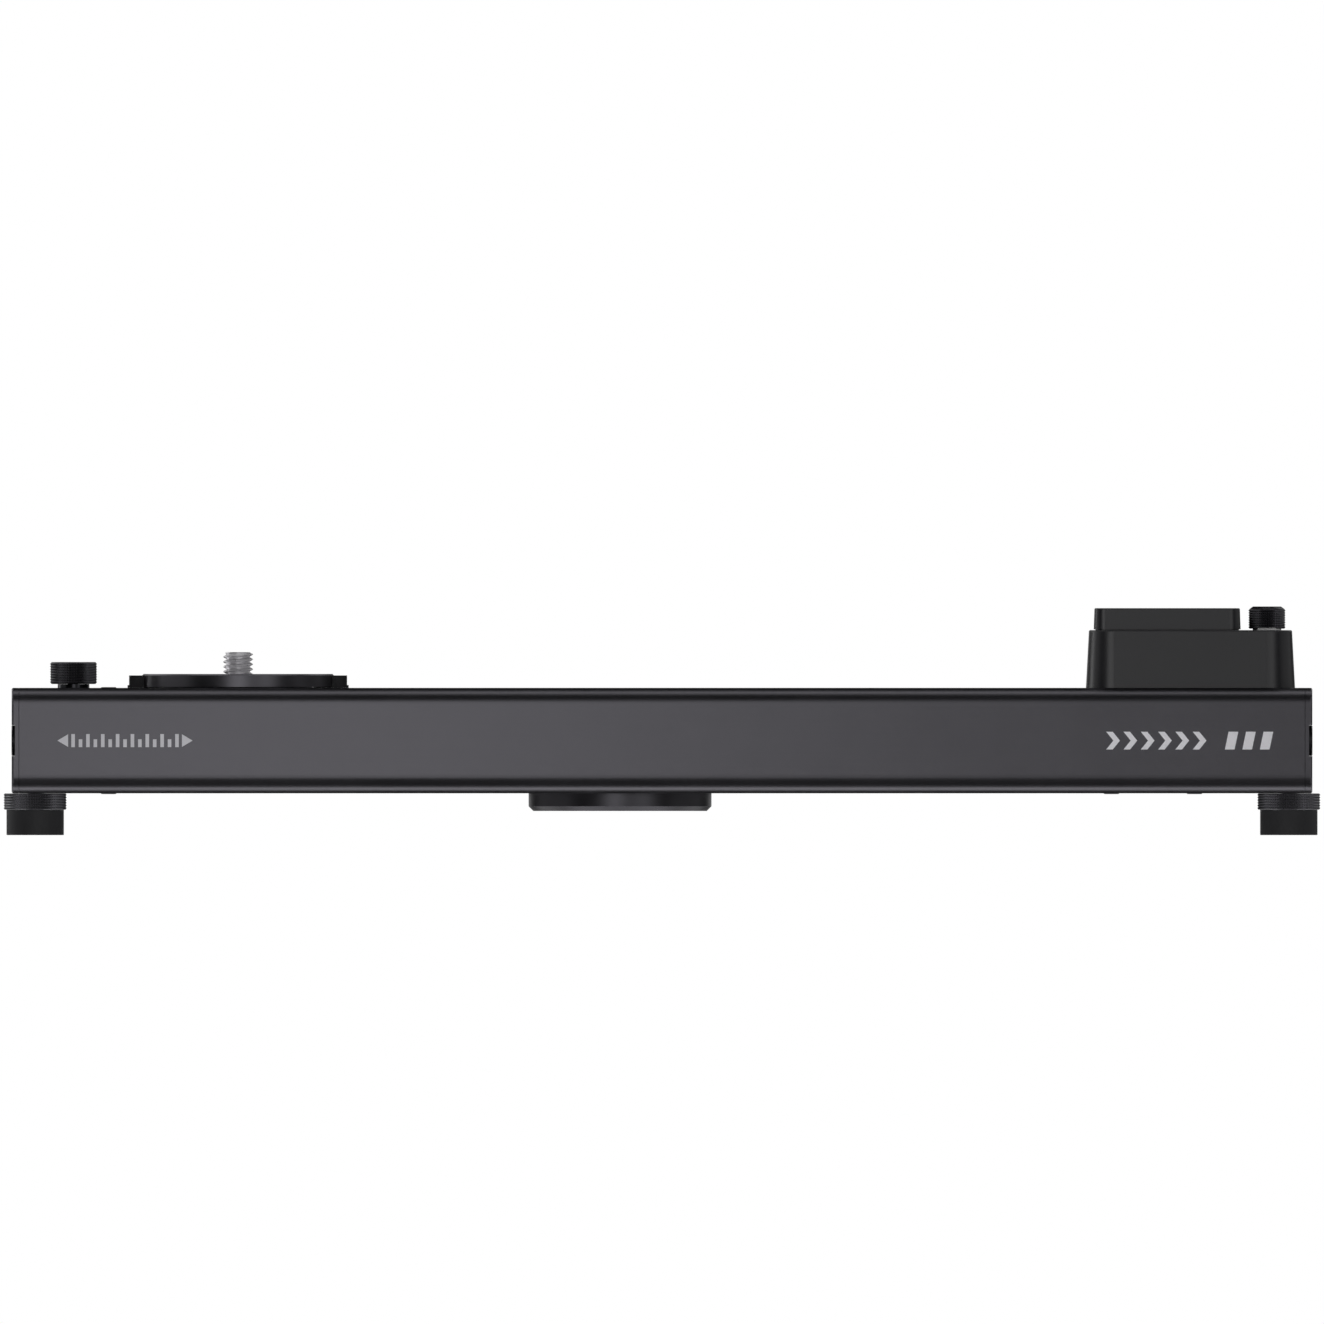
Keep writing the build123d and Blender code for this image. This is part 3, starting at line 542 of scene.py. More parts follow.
def make_finishes():
    """Every finish by name. The number after a base colour is its roughness."""
    c = bpy.context.scene.slider_colours
    anodised = tuple(c.anodised)
    black = tuple(c.black)
    return {
        "extrusion": blasted("anodised_extrusion", anodised, 0.34, 1.0, lines=True),
        "anodised": blasted("anodised", anodised, 0.34, 1.0),
        # Painted shade: the same anodising made darker for the base disc, so that it reads as less
        # lit than the platform above.
        "anodised_shaded": blasted("shaded_anodised", shade(anodised, 0.72), 0.36, 1.0),
        "knurled": blasted("black_anodised", black, 0.36, 1.0, 0.12),
        "machined_black": blasted("black_machined", shade(black, 0.8), 0.42, 1.0, 0.12),
        "black_steel": machined("black_oxide_steel", (0.05, 0.05, 0.055), 0.34, (1, 1, 20)),
        "gloss_black": machined("polished_black", (0.045, 0.045, 0.05), 0.18, (1, 1, 30)),
        "steel": machined("bright_steel", tuple(c.steel), 0.32),
        "stud_steel": machined("satin_steel", tuple(c.stud), 0.46, (1, 1, 12), 0.001),
        "rod": machined("ground_rod", tuple(c.steel), 0.2, (60, 1, 1)),
        "nickel": machined("satin_nickel", (0.9, 0.89, 0.89), 0.35),
        "alloy": machined("turned_alloy", (0.62, 0.62, 0.64), 0.3),
        "brass": machined("machined_brass", (0.72, 0.5, 0.22), 0.28),
        "shell": moulded("shell", tuple(c.shell), 0.36, 0.35, 0.003, gloss=0.85),
        "keys": moulded("key_caps", shade(tuple(c.shell), 0.7), 0.4, 0.2, 0.004),
        "polymer": moulded("roller_polymer", (0.03, 0.03, 0.033), 0.38, 0.6, 0.004),
        "nylon": moulded("white_nylon", (0.72, 0.71, 0.66), 0.45, 0.6, 0.004),
        "wrap": moulded("battery_wrap", (0.02, 0.06, 0.18), 0.3, 4.0, 0.05),
        "rubber": rubbery("rubber", tuple(c.rubber)),
        "ink": printed("silver_ink", tuple(c.ink)),
        "bright_ink": printed("bright_silver_ink", shade(tuple(c.ink), 1.68)),
        "window": glossy("display_window_smoke", (0.004, 0.0045, 0.006)),
        "glow": lit("display_glow", (0.75, 0.88, 1.0)),
        "circuit": circuit("circuit", (0.01, 0.07, 0.03)),
    }


FINISHES = {}

NODE_FINISHES = {
    "extrusion": ("rail_extrusion",),
    "anodised": (
        "end_plate_left",
        "end_plate_right",
        "idler_cover",
        "camera_disc",
    ),
    # The base disc takes the darker copy of the anodising, as painted shade.
    "anodised_shaded": ("base_disc",),
    "machined_black": (
        "carriage_saddle",
        "belt_clamp",
        "bearing_block",
        "end_blocks",
        "motor_base_plate",
    ),
    "black_steel": (
        "end_plate_screws",
        "rail_screws",
        "base_disc_screws",
        "carriage_screws",
        "housing_screws",
        "roller_axles",
    ),
    "gloss_black": ("lock_bush",),
    "steel": (
        "idler_axle",
        "drive_shaft",
        "shaft_bearings",
        "motor_can",
        "motor_rotor",
        "encoder_plunger",
        "usb_socket",
    ),
    "rod": ("guide_rods",),
    "nickel": ("encoder_nut",),
    "alloy": ("idler_pulley", "drive_pulley"),
    "brass": ("drive_gear",),
    "shell": ("motor_housing", "control_deck"),
    "keys": ("start_button", "direction_button", "encoder_body"),
    "polymer": tuple(f"roller_{corner}" for corner in CORNERS),
    "nylon": ("brake_pad",),
    "wrap": ("battery_pack",),
    "rubber": ("carriage_bumpers", *(f"foot_pad_{corner}" for corner in CORNERS)),
    "window": ("display_window",),
    "circuit": ("control_board", "display_module"),
}


# --- operators: one for each piece or group of like pieces, and one for the stage ----------


class SLIDER_OT_stage(bpy.types.Operator):
    """Camera, pale floor and soft lights"""

    bl_idname = "slider.stage"
    bl_label = "Studio stage"

    def execute(self, context):
        studio = context.scene.slider_studio
        self.add_camera(context, studio)
        self.add_world(context, studio)
        self.add_lights()
        self.add_floor()
        context.scene.view_settings.view_transform = "Standard"
        return {"FINISHED"}

    def add_camera(self, context, studio):
        """Level camera with parallel lines of sight, like a very long lens."""
        low, high = CAD_BOX
        data = bpy.data.cameras.new("camera")
        data.type = "ORTHO"
        data.ortho_scale = (high.x - low.x) * studio.margin
        camera = bpy.data.objects.new("camera", data)
        camera.location = ((low.x + high.x) / 2, low.y - studio.distance, studio.eye_height)
        camera.rotation_euler = (math.radians(90), 0, 0)
        context.scene.collection.objects.link(camera)
        context.scene.camera = camera

    def add_world(self, context, studio):
        """White to the eye, dim to the slider, so that only the lights shape it."""
        world = bpy.data.worlds.new("studio")
        nodes = NodeTree(world)
        seen = nodes.node("ShaderNodeLightPath", output="Is Camera Ray")
        room = nodes.node("ShaderNodeBackground", inputs={"Strength": studio.fill})
        white = nodes.node("ShaderNodeBackground", inputs={"Color": (1, 1, 1, 1)})
        mix = nodes.node("ShaderNodeMixShader", inputs={0: seen, 1: room, 2: white})
        nodes.node("ShaderNodeOutputWorld", inputs={"Surface": mix})
        context.scene.world = world

    def add_lights(self):
        """Soft boxes all round the slider. The front ones face the rail squarely."""
        middle = Vector((0, 0, 0.03))
        # Each has its place, its width and height, and its radiance.
        boxes = {
            "front_left": ((-0.15, -1.0, 0.2), (0.34, 1.06), 1.35),
            "front": ((0.185, -1.0, 0.2), (0.33, 1.06), 0.24),
            "front_right": ((0.6, -1.0, 0.2), (0.5, 1.06), 0.78),
            "top": ((0.0, 0.075, 1.05), (2.2, 0.42), 0.95),
            "under": ((0.0, 0.11, -0.95), (2.2, 0.42), 1.6),
            "left": ((-0.85, 0.05, 0.05), (1.0, 0.9), 0.33),
            "left_near": ((-0.42, 0.16, 0.13), (0.16, 0.17), 1.8),
            "right": ((0.9, 0.08, 0.05), (1.0, 0.9), 0.28),
            "low_left": ((-0.85, -0.85, -0.75), (0.8, 0.8), 0.8),
            "low_right": ((0.85, -0.85, -0.75), (0.8, 0.8), 0.8),
            "high_left": ((-0.85, 0.95, 0.75), (0.8, 0.8), 0.8),
            "high_right": ((0.85, 0.95, 0.75), (0.8, 0.8), 0.8),
            "back": ((0.0, 1.3, 0.0), (1.6, 0.5), 0.5),
            "back_low_left": ((-0.85, 0.85, -0.75), (0.8, 0.8), 0.8),
            "back_low_right": ((0.85, 0.85, -0.75), (0.8, 0.8), 0.8),
            "over_left": ((-0.95, -0.8, 0.9), (0.6, 0.6), 0.8),
            "over_right": ((0.95, -0.8, 0.9), (0.6, 0.6), 0.8),
        }
        for name, (place, (width, height), radiance) in boxes.items():
            data = bpy.data.lights.new(name, "AREA")
            data.shape = "RECTANGLE"
            data.size, data.size_y = width, height
            data.energy = radiance * math.pi * width * height
            lamp = bpy.data.objects.new(name, data)
            lamp.location = place
            aim = middle - Vector(place)
            if name.startswith("front"):
                aim = Vector((0, 1, 0))
            lamp.rotation_euler = aim.to_track_quat("-Z", "Y").to_euler()
            lamp.visible_camera = False
            bpy.context.scene.collection.objects.link(lamp)

    def add_floor(self):
        """Pale floor that only the eye sees, so that the lower soft boxes still work, with a
        painted shadow under the slider.
        """
        half = 3.0
        # pale is the glow of the painted shadow under the slider, white the glow further out.
        pale, white = (0.9, 0.9, 0.9), (1.0, 1.0, 1.0)
        mesh = bpy.data.meshes.new("floor")
        mesh.from_pydata(
            [(-half, -half, 0), (half, -half, 0), (half, half, 0), (-half, half, 0)],
            [],
            [(0, 1, 2, 3)],
        )
        f = Finish("pale_floor")
        reach = f.node("ShaderNodeVectorMath", {"operation": "LENGTH"}, {0: f.place()}, "Value")
        # Painted shadow: the glow is pale within 5 cm of the middle, under the slider, and rises
        # to white by 30 cm.
        far = f.steps(reach, low=0.05, high=0.3)
        mesh.materials.append(
            f.surface(
                Base_Color=f.blend(f.noise(30 * MM), (0.8, 0.8, 0.8), (0.84, 0.84, 0.84)),
                Roughness=0.9,
                Emission_Color=f.blend(far, pale, white),
                Emission_Strength=1.0,
            )
        )
        floor = bpy.data.objects.new("floor", mesh)
        bpy.context.scene.collection.objects.link(floor)
        floor.visible_glossy = False
        floor.visible_diffuse = False
        floor.visible_shadow = False


class SLIDER_OT_finishes(bpy.types.Operator):
    """Finishes of the parts whose shape stays as designed"""

    bl_idname = "slider.finishes"
    bl_label = "Finishes"

    def execute(self, context):
        FINISHES.update(make_finishes())
        for finish, nodes in NODE_FINISHES.items():
            for node in nodes:
                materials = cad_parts[node].data.materials
                materials.clear()
                materials.append(FINISHES[finish])
        return {"FINISHED"}


class SLIDER_OT_feet(bpy.types.Operator):
    """Knurled foot rings on their threaded stems"""

    bl_idname = "slider.feet"
    bl_label = "Feet"

    def execute(self, context):
        s = context.scene.slider_sizes
        pad_gap, rail_gap = 0.01 * MM, 0.02 * MM
        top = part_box("rail_extrusion")[0].z - rail_gap
        for corner in CORNERS:
            node, pad = f"foot_ring_{corner}", f"foot_pad_{corner}"
            low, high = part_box(node)
            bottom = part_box(pad)[1].z + pad_gap
            ring = Shell()
            self.add_ring(ring, s, radius_of(node), bottom, top)
            self.add_stem(ring, s, low.z, high.z)
            piece = ring.make(f"knurled_foot_ring_{corner}", FINISHES["knurled"])
            # The light line along the rail's lower edge runs on unbroken over the feet.
            for part in (piece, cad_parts[pad]):
                part.visible_shadow = part.visible_glossy = False
            settle(piece, node, node)
        return {"FINISHED"}

    @staticmethod
    def add_ring(ring, s, radius, bottom, top):
        """Knurled band with flat faces, open in the middle for the stem."""
        bevel = 0.06 * MM
        count = 2 * s.ring_teeth
        bore = 3.0 * MM
        lower, upper = ring.knurl(
            radius, s.knurl_depth, bottom + bevel, top - bevel, s.ring_rows, s.ring_teeth
        )
        edge = radius - s.knurl_depth - bevel
        rings = ring.lathe([(bore, bottom), (edge, bottom)], count)
        ring.bridge_all([*rings, lower])
        over = ring.lathe([(edge, top), (bore, top)], count)
        ring.bridge_all([upper, *over])
        ring.bridge(over[-1], rings[0])

    @staticmethod
    def add_stem(ring, s, bottom, top):
        """Threaded stem from inside the pad up into the end block."""
        crest, root = 3.0 * MM, 2.45 * MM
        turns = ring.thread(crest, root, s.foot_pitch, bottom, top, count=36)
        ring.bridge_all(turns)
        ring.cap(turns[0], up=False)
        ring.cap(turns[-1], up=True)


class SLIDER_OT_lock_knob(bpy.types.Operator):
    """Knurled lock knob and its screw"""

    bl_idname = "slider.lock_knob"
    bl_label = "Lock knob"

    def execute(self, context):
        s = context.scene.slider_sizes
        low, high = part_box("lock_knob")
        radius = radius_of("lock_knob")
        bush_gap = 0.02 * MM
        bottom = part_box("lock_bush")[1].z + bush_gap
        bevel = 0.25 * MM
        dish_depth = 0.4 * MM
        count = 2 * s.lock_teeth
        groove = radius - s.knurl_depth
        knob = Shell()
        lower, upper = knob.knurl(
            radius, s.knurl_depth, bottom + bevel, high.z - bevel, s.lock_rows, s.lock_teeth
        )
        under = knob.ring(groove - bevel, bottom, count)
        knob.bridge(under, lower)
        knob.cap(under, up=False)
        dish = [
            (groove - bevel, high.z),
            (radius * 0.78, high.z),
            (radius * 0.74, high.z - bevel),
            (radius * 0.1, high.z - dish_depth),
        ]
        rings = knob.lathe(dish, count)
        knob.bridge_all([upper, *rings])
        knob.cap(rings[-1], up=True)
        crest, root, overlap = 2.0 * MM, 1.62 * MM, 0.2 * MM
        turns = knob.thread(crest, root, s.lock_pitch, low.z, bottom + overlap, count=32)
        knob.bridge_all(turns)
        knob.cap(turns[0], up=False)
        knob.cap(turns[-1], up=True)
        piece = knob.make("knurled_lock_knob", FINISHES["knurled"])
        settle(piece, "lock_knob", "lock_knob")
        return {"FINISHED"}


class SLIDER_OT_control_knob(bpy.types.Operator):
    """Knurled control knob with its broad top chamfer"""

    bl_idname = "slider.control_knob"
    bl_label = "Control knob"

    HOUSING_GAP = 0.46 * MM
    CHAMFER = 0.93 * MM
    BEVEL = 0.1 * MM
    BOSS_RADIUS = 2.25 * MM
    HOLLOW_RADIUS = 4.75 * MM
    NUT_ROOM = 0.6 * MM
    # The notch is this wide to each side, and takes away the skirt in front of this depth.
    NOTCH_HALF, NOTCH_BACK = 3.1 * MM, 3.2 * MM

    def execute(self, context):
        s = context.scene.slider_sizes
        low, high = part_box("control_knob")
        radius = radius_of("control_knob")
        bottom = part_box("motor_housing")[1].z + self.HOUSING_GAP
        nut_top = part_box("encoder_nut")[1].z
        count = 2 * s.dial_teeth
        groove = radius - s.knurl_depth
        chamfer_bottom = high.z - self.CHAMFER
        knob = Shell()
        lower, upper = knob.knurl(
            radius, s.knurl_depth, bottom + self.BEVEL, chamfer_bottom, s.dial_rows, s.dial_teeth
        )
        roof = nut_top + self.NUT_ROOM
        hollow = [
            (self.BOSS_RADIUS, low.z),
            (self.BOSS_RADIUS, roof),
            (self.HOLLOW_RADIUS, roof),
            (self.HOLLOW_RADIUS, bottom),
            (groove - self.BEVEL, bottom),
        ]
        inside = knob.lathe(hollow, count)
        knob.bridge_all([*inside, lower])
        knob.cap(inside[0], up=False)
        self.cut_notch(knob, nut_top)
        crown = [
            (groove - 0.02 * MM, chamfer_bottom + 0.12 * MM),
            (radius - 1.4 * MM, high.z - 0.05 * MM),
            (radius - 1.55 * MM, high.z),
            (radius * 0.55, high.z),
            (radius * 0.5, high.z - 0.12 * MM),
            (radius * 0.1, high.z - 0.18 * MM),
        ]
        rings = knob.lathe(crown, count)
        knob.bridge_all([upper, *rings])
        knob.cap(rings[-1], up=True)
        piece = knob.make("knurled_control_knob", FINISHES["knurled"])
        settle(piece, "control_knob", "control_knob")
        return {"FINISHED"}

    def cut_notch(self, knob, roof):
        """Index notch: the front of the skirt is lifted to the top of the nut behind it."""
        for i, (x, y, z) in enumerate(knob.points):
            if abs(x) < self.NOTCH_HALF and y < -self.NOTCH_BACK and z < roof:
                knob.points[i] = (x, y, roof)


class SLIDER_OT_camera_stud(bpy.types.Operator):
    """Bright 3/8 inch stud with a real thread and a hexagon socket"""

    bl_idname = "slider.camera_stud"
    bl_label = "Camera stud"

    def execute(self, context):
        s = context.scene.slider_sizes
        low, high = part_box("camera_screw")
        crest = radius_of("camera_screw")
        thread_depth = 0.61 * s.stud_pitch
        root = crest - thread_depth
        shank_radius = root - 0.1 * MM
        sunk, chamfer = 0.5 * MM, 0.2 * MM
        flat, flare, socket_depth = 4.6 * MM, 0.3 * MM, 3.3 * MM
        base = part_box("camera_disc")[1].z - sunk
        count = 96
        stud = Shell()
        shank = stud.lathe([(shank_radius, low.z), (shank_radius, base)], count)
        top = high.z - chamfer
        turns = stud.thread(
            crest, root, s.stud_pitch, base, top, count=count, steps=28, run_out=0.2
        )
        end = stud.lathe(
            [
                (root + 0.1 * MM, high.z - 0.05 * MM),
                (root - 0.05 * MM, high.z),
                (hexagon(flat + flare), high.z),
                (hexagon(flat), top),
                (hexagon(flat), high.z - socket_depth),
            ],
            count,
        )
        stud.bridge_all([*shank, *turns, *end])
        stud.cap(shank[0], up=False)
        stud.cap(end[-1], up=True)
        piece = stud.make("camera_stud", FINISHES["stud_steel"], sharp=60)
        settle(piece, "camera_screw", "carriage")
        return {"FINISHED"}


class SLIDER_OT_grip_ring(bpy.types.Operator):
    """Ribbed rubber ring in the platform"""

    bl_idname = "slider.grip_ring"
    bl_label = "Grip ring"

    def execute(self, context):
        low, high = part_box("grip_pad")
        outer = radius_of("grip_pad")
        width, ribs = 6.0 * MM, 10
        inner = outer - width
        rib = (outer - inner) / ribs
        groove = high.z - 0.3 * MM
        shoulder = high.z - 0.1 * MM
        profile = [(inner, low.z), (outer, low.z), (outer, shoulder)]
        for i in range(ribs):
            start = outer - i * rib
            profile += [
                (start - 0.15 * rib, high.z),
                (start - 0.55 * rib, high.z),
                (start - 0.65 * rib, groove),
                (start - 0.95 * rib, groove),
            ]
        profile.append((inner, shoulder))
        ring = Shell()
        ring.bridge_all(ring.lathe(profile, 128), loop=True)
        piece = ring.make("ribbed_grip_ring", FINISHES["rubber"], sharp=25)
        settle(piece, "grip_pad", "carriage")
        return {"FINISHED"}


class SLIDER_OT_shade_strips(bpy.types.Operator):
    """Dark rubber strips in the gaps under the bumpers' lips and between them and the neck, put
    there as painted shade lines
    """

    bl_idname = "slider.wipers"
    bl_label = "Shade strips"

    NECK_HALF = 24 * MM
    NECK_GAP = 0.2 * MM
    # Slack between a neck strip and the walls of its gap, and between a lip strip and the rail.
    SEAL_SLACK, RAIL_SLACK = 0.02 * MM, 0.002 * MM
    WIPER_THICK, SEAL_THICK = 0.027 * MM, 0.29 * MM
    # How much shorter than the bumpers both are, across the rail.
    SHORTER = 5 * MM

    def execute(self, context):
        low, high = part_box("carriage_bumpers")
        middle = (low.x + high.x) / 2
        across = high.y - low.y - self.SHORTER
        rail_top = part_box("rail_extrusion")[1].z
        lip = self.NECK_HALF + self.NECK_GAP
        seal = (self.NECK_HALF + self.SEAL_SLACK, lip - self.SEAL_SLACK)
        strips = (
            ("lip_shade_strips", lip, (high.x - low.x) / 2, self.WIPER_THICK),
            ("neck_seals", *seal, self.SEAL_THICK),
        )

        def on_rail(x, y, out):
            return (x, y, rail_top + self.RAIL_SLACK + out)

        # Both kinds of strip are dark sheets that stand in for the shade in these gaps.
        for name, near, far, thick in strips:
            places = [middle + side * (near + far) / 2 for side in (-1, 1)]
            shapes = [bar(x, 0, far - near, across) for x in places]
            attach(print_marks(name, shapes, FINISHES["rubber"], on_rail, thick), "carriage")
        return {"FINISHED"}


class SLIDER_OT_belt(bpy.types.Operator):
    """Toothed timing belt round both pulleys"""

    bl_idname = "slider.belt"
    bl_label = "Timing belt"

    def execute(self, context):
        pitch = context.scene.slider_sizes.belt_pitch
        low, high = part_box("drive_belt")
        band, tooth = 0.62 * MM, 0.72 * MM
        outside = high.y
        inside = outside - band
        tip = inside - tooth
        idler, _ = centre_of("idler_pulley")
        drive, _ = centre_of("drive_pulley")
        run = self.half_loop(idler, drive, inside, tip, outside, pitch)
        half = [(*inner, *outer) for inner, outer in run]
        turned = [(idler + drive - a, -b, idler + drive - c, -d) for a, b, c, d in half]
        belt = Shell()
        for ax, ay, bx, by in half + turned:
            belt.points += [(ax, ay, low.z), (bx, by, low.z), (bx, by, high.z), (ax, ay, high.z)]
        stations = len(belt.points) // 4
        for i in range(stations):
            a, b = 4 * i, 4 * ((i + 1) % stations)
            for j in range(4):
                k = (j + 1) % 4
                belt.faces.append((a + j, b + j, b + k, a + k))
        piece = belt.make("toothed_belt", FINISHES["rubber"], sharp=25)
        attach(piece, "root")
        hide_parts("drive_belt")
        return {"FINISHED"}

    @staticmethod
    def half_loop(idler, drive, inside, tip, outside, pitch):
        """Front run from left to right and the turn round the drive pulley, as pairs of points."""
        pairs = []
        clear = 4 * MM
        teeth = int((drive - idler - 2 * clear) / pitch)
        start = (idler + drive - teeth * pitch) / 2
        for tooth in range(teeth):
            for share, depth in ((0.1, inside), (0.3, tip), (0.6, tip), (0.8, inside)):
                x = start + (tooth + share) * pitch
                pairs.append(((x, -depth), (x, -outside)))
        steps = 24
        for i in range(steps + 1):
            angle = math.pi * (i / steps - 0.5)
            way = (math.cos(angle), math.sin(angle))
            near = (drive + inside * way[0], inside * way[1])
            far = (drive + outside * way[0], outside * way[1])
            pairs.append((near, far))
        return pairs


class SLIDER_OT_side_threads(bpy.types.Operator):
    """Flanged inserts in the end plates, with real threads"""

    bl_idname = "slider.side_threads"
    bl_label = "Side threads"

    def execute(self, context):
        s = context.scene.slider_sizes
        low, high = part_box("side_thread_inserts")
        flange = (high.z - low.z) / 2
        height = (high.z + low.z) / 2
        sleeve, mouth, rim = 4.2 * MM, 3.3 * MM, 3.75 * MM
        # Heights under the flange's face: the sleeve's end, the flange's seat and the mouth.
        end, seat, throat = -9.05 * MM, -1.1 * MM, -0.35 * MM
        profile = [
            (sleeve, end),
            (sleeve, seat),
            (flange, seat),
            (flange, -0.25 * MM),
            (flange - 0.2 * MM, -0.02 * MM),
            (rim, 0),
            (mouth, throat),
        ]
        for side, name, face in ((-1, "left", low.x), (1, "right", high.x)):
            insert = Shell()
            outer = insert.lathe(profile, 48)
            turns = insert.thread(
                *QUARTER_INCH_THREAD, s.insert_pitch, end, throat, steps=8, run_out=0.4
            )
            insert.bridge_all([*outer, *reversed(turns)], loop=True)
            piece = insert.make(f"side_insert_{name}", FINISHES["black_steel"])
            piece.location = (face, 0, height)
            piece.rotation_euler = (0, side * math.radians(90), 0)
            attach(piece, "root")
            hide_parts("side_thread_inserts")
        return {"FINISHED"}


class SLIDER_OT_tripod_bush(bpy.types.Operator):
    """Bush in the base disc that steps its 3/8 inch thread down to 1/4 inch"""

    bl_idname = "slider.tripod_bush"
    bl_label = "Tripod bush"

    def execute(self, context):
        s = context.scene.slider_sizes
        low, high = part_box("thread_adaptor")
        outer = radius_of("thread_adaptor")
        bevel = 0.3 * MM
        bush = Shell()
        wall = bush.lathe([(outer - bevel, low.z), (outer, low.z + bevel), (outer, high.z)], 48)
        turns = bush.thread(
            *QUARTER_INCH_THREAD, s.insert_pitch, low.z, high.z, steps=8, run_out=0.4
        )
        bush.bridge_all([*wall, *reversed(turns)], loop=True)
        piece = bush.make("tripod_bush", FINISHES["brass"])
        settle(piece, "thread_adaptor", "root")
        return {"FINISHED"}


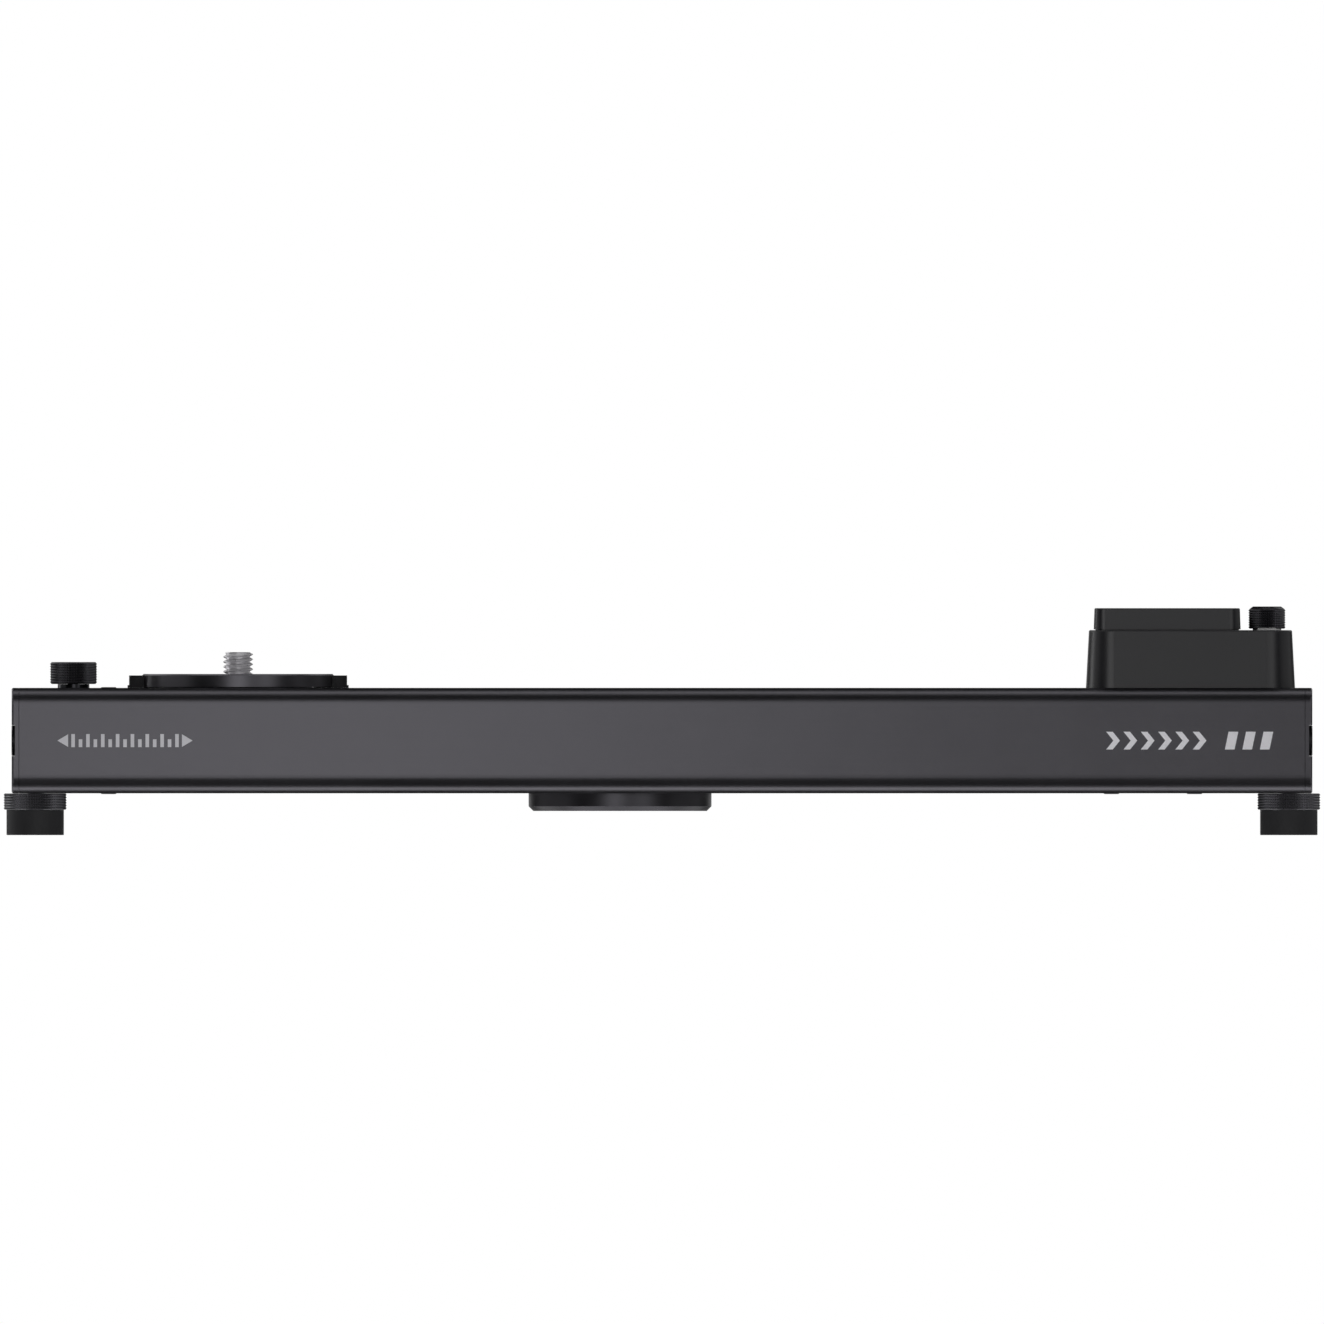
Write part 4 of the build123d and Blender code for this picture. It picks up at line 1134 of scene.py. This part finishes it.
class SLIDER_OT_markings(bpy.types.Operator):
    """Plain signs on the rail, the keys and the display"""

    bl_idname = "slider.markings"
    bl_label = "Markings"

    def execute(self, context):
        ink = context.scene.slider_sizes.ink
        self.mark_rail(ink)
        self.mark_keys(ink)
        self.mark_display(ink)
        return {"FINISHED"}

    def mark_rail(self, ink):
        """A travel scale at the left and a speed sign at the right."""
        low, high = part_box("rail_extrusion")
        height = (low.z + high.z) / 2

        def on_front(x, z, out):
            return (x, low.y - out, height + z)

        signs = (("travel_sign", self.travel(), "ink"), ("speed_sign", self.speed(), "bright_ink"))
        for name, shapes, finish in signs:
            piece = print_marks(name, shapes, FINISHES[finish], on_front, ink)
            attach(piece, "root")

    @staticmethod
    def travel():
        """Scale of long and short strokes between two arrow heads."""
        left, width, tall, line = -193.8 * MM, 43.3 * MM, 4.2 * MM, 1.15 * MM
        head, margin = 3.4 * MM, 1.6 * MM
        strokes, short = 15, 0.6
        shapes = [arrow_head(left, 0, head, -1), arrow_head(left + width, 0, head, 1)]
        run = width - 2 * (head + margin)
        for i in range(strokes):
            size = tall if i % 2 == 0 else tall * short
            x = left + width / 2 + run * (i / (strokes - 1) - 0.5)
            shapes.append(bar(x, (size - tall) / 2, line, size))
        return shapes

    @staticmethod
    def speed():
        """Six chevrons, then three leaning bars."""
        tall, lean = 5.7 * MM, 1.2 * MM
        first_chevron, chevron_step, chevron_width, arm = 144.6 * MM, 5.55 * MM, 4.4 * MM, 2.1 * MM
        first_bar, bar_step, bar_width = 182.6 * MM, 5.6 * MM, 3.1 * MM
        return [
            *(
                chevron(first_chevron + chevron_step * i, 0, chevron_width, tall, arm)
                for i in range(6)
            ),
            *(leaning_bar(first_bar + bar_step * i, bar_width, tall, lean) for i in range(3)),
        ]

    def mark_keys(self, ink):
        """A start triangle on one key and two opposed arrows on the other."""
        for key in ("start_button", "direction_button"):
            x0, y0 = centre_of(key)
            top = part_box(key)[1].z

            def on_key(x, y, out, x0=x0, y0=y0, top=top):
                return (x0 + x, y0 + y, top + out)

            if key == "start_button":
                tip, back, half = 1.7 * MM, -1.1 * MM, 1.6 * MM
                shapes = [[(back, -half), (tip, 0), (back, half)]]
            else:
                tip, size, line, tall = 2.4 * MM, 1.7 * MM, 0.5 * MM, 2.4 * MM
                shapes = [
                    arrow_head(tip, 0, size, 1),
                    arrow_head(-tip, 0, size, -1),
                    bar(0, 0, line, tall),
                ]
            piece = print_marks(f"{key}_sign", shapes, FINISHES["ink"], on_key, ink)
            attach(piece, key)

    def mark_display(self, ink):
        """Speed steps, battery sign and travel bar on the window."""
        x0, y0 = centre_of("display_window")
        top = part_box("display_window")[1].z

        def on_window(x, y, out):
            return (x0 + x, y0 + y, top + out)

        shapes = [*self.speed_steps(), *self.battery(), *self.travel_bar()]
        piece = print_marks("display_signs", shapes, FINISHES["glow"], on_window, ink)
        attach(piece, "root")

    @staticmethod
    def speed_steps():
        """Eight bars that rise from left to right."""
        left, foot, apart, width = -11 * MM, -4.6 * MM, 1.9 * MM, 1.1 * MM
        heights = [(1.6 + 0.75 * i) * MM for i in range(8)]
        return [
            bar(left + apart * i, foot + tall / 2, width, tall) for i, tall in enumerate(heights)
        ]

    @staticmethod
    def battery():
        """Outline of a battery with three cells."""
        x, y, width, height, wall = 9.4 * MM, 4.6 * MM, 6.4 * MM, 3.2 * MM, 0.35 * MM
        stub, cell, apart = 0.5 * MM, 1.2 * MM, 1.7 * MM
        side, edge = width / 2, height / 2
        return [
            bar(x, y + edge, width, wall),
            bar(x, y - edge, width, wall),
            bar(x - side, y, wall, height - wall),
            bar(x + side, y, wall, height - wall),
            bar(x + side + stub, y, stub, cell),
            *(bar(x + apart * i, y, cell, height - 4 * wall) for i in (-1, 0, 1)),
        ]

    @staticmethod
    def travel_bar():
        """Line between two arrow heads, with the carriage's place on it."""
        middle, y, half, line = 9.0 * MM, -3.4 * MM, 4.4 * MM, 0.4 * MM
        head, place, width, tall = 1.5 * MM, 8.0 * MM, 0.9 * MM, 2.4 * MM
        return [
            bar(middle, y, 7.0 * MM, line),
            arrow_head(middle + half, y, head, 1),
            arrow_head(middle - half, y, head, -1),
            bar(place, y, width, tall),
        ]


class SLIDER_PT_panel(bpy.types.Panel):
    """Lists the steps that dress the slider"""

    bl_idname = "SLIDER_PT_panel"
    bl_label = "Camera slider"
    bl_space_type = "VIEW_3D"
    bl_region_type = "UI"
    bl_category = "Slider"

    def draw(self, context):
        for step in STEPS:
            self.layout.operator(step.bl_idname)
        for group_name in GROUPS:
            group = getattr(context.scene, group_name)
            box = self.layout.box()
            for name in group.__annotations__:
                box.prop(group, name)


STEPS = (
    SLIDER_OT_stage,
    SLIDER_OT_finishes,
    SLIDER_OT_feet,
    SLIDER_OT_lock_knob,
    SLIDER_OT_control_knob,
    SLIDER_OT_camera_stud,
    SLIDER_OT_grip_ring,
    SLIDER_OT_shade_strips,
    SLIDER_OT_belt,
    SLIDER_OT_side_threads,
    SLIDER_OT_tripod_bush,
    SLIDER_OT_markings,
)
GROUPS = {
    "slider_sizes": SliderSizes,
    "slider_colours": SliderColours,
    "slider_studio": StudioSettings,
}


def register():
    for kind in (*GROUPS.values(), *STEPS, SLIDER_PT_panel):
        bpy.utils.register_class(kind)
    for name, group in GROUPS.items():
        setattr(bpy.types.Scene, name, bpy.props.PointerProperty(type=group))


def unregister():
    for name in GROUPS:
        delattr(bpy.types.Scene, name)
    for kind in reversed((*GROUPS.values(), *STEPS, SLIDER_PT_panel)):
        bpy.utils.unregister_class(kind)


def main():
    register()
    for step in STEPS:
        family, name = step.bl_idname.split(".")
        getattr(getattr(bpy.ops, family), name)()


if __name__ == "__main__":
    main()
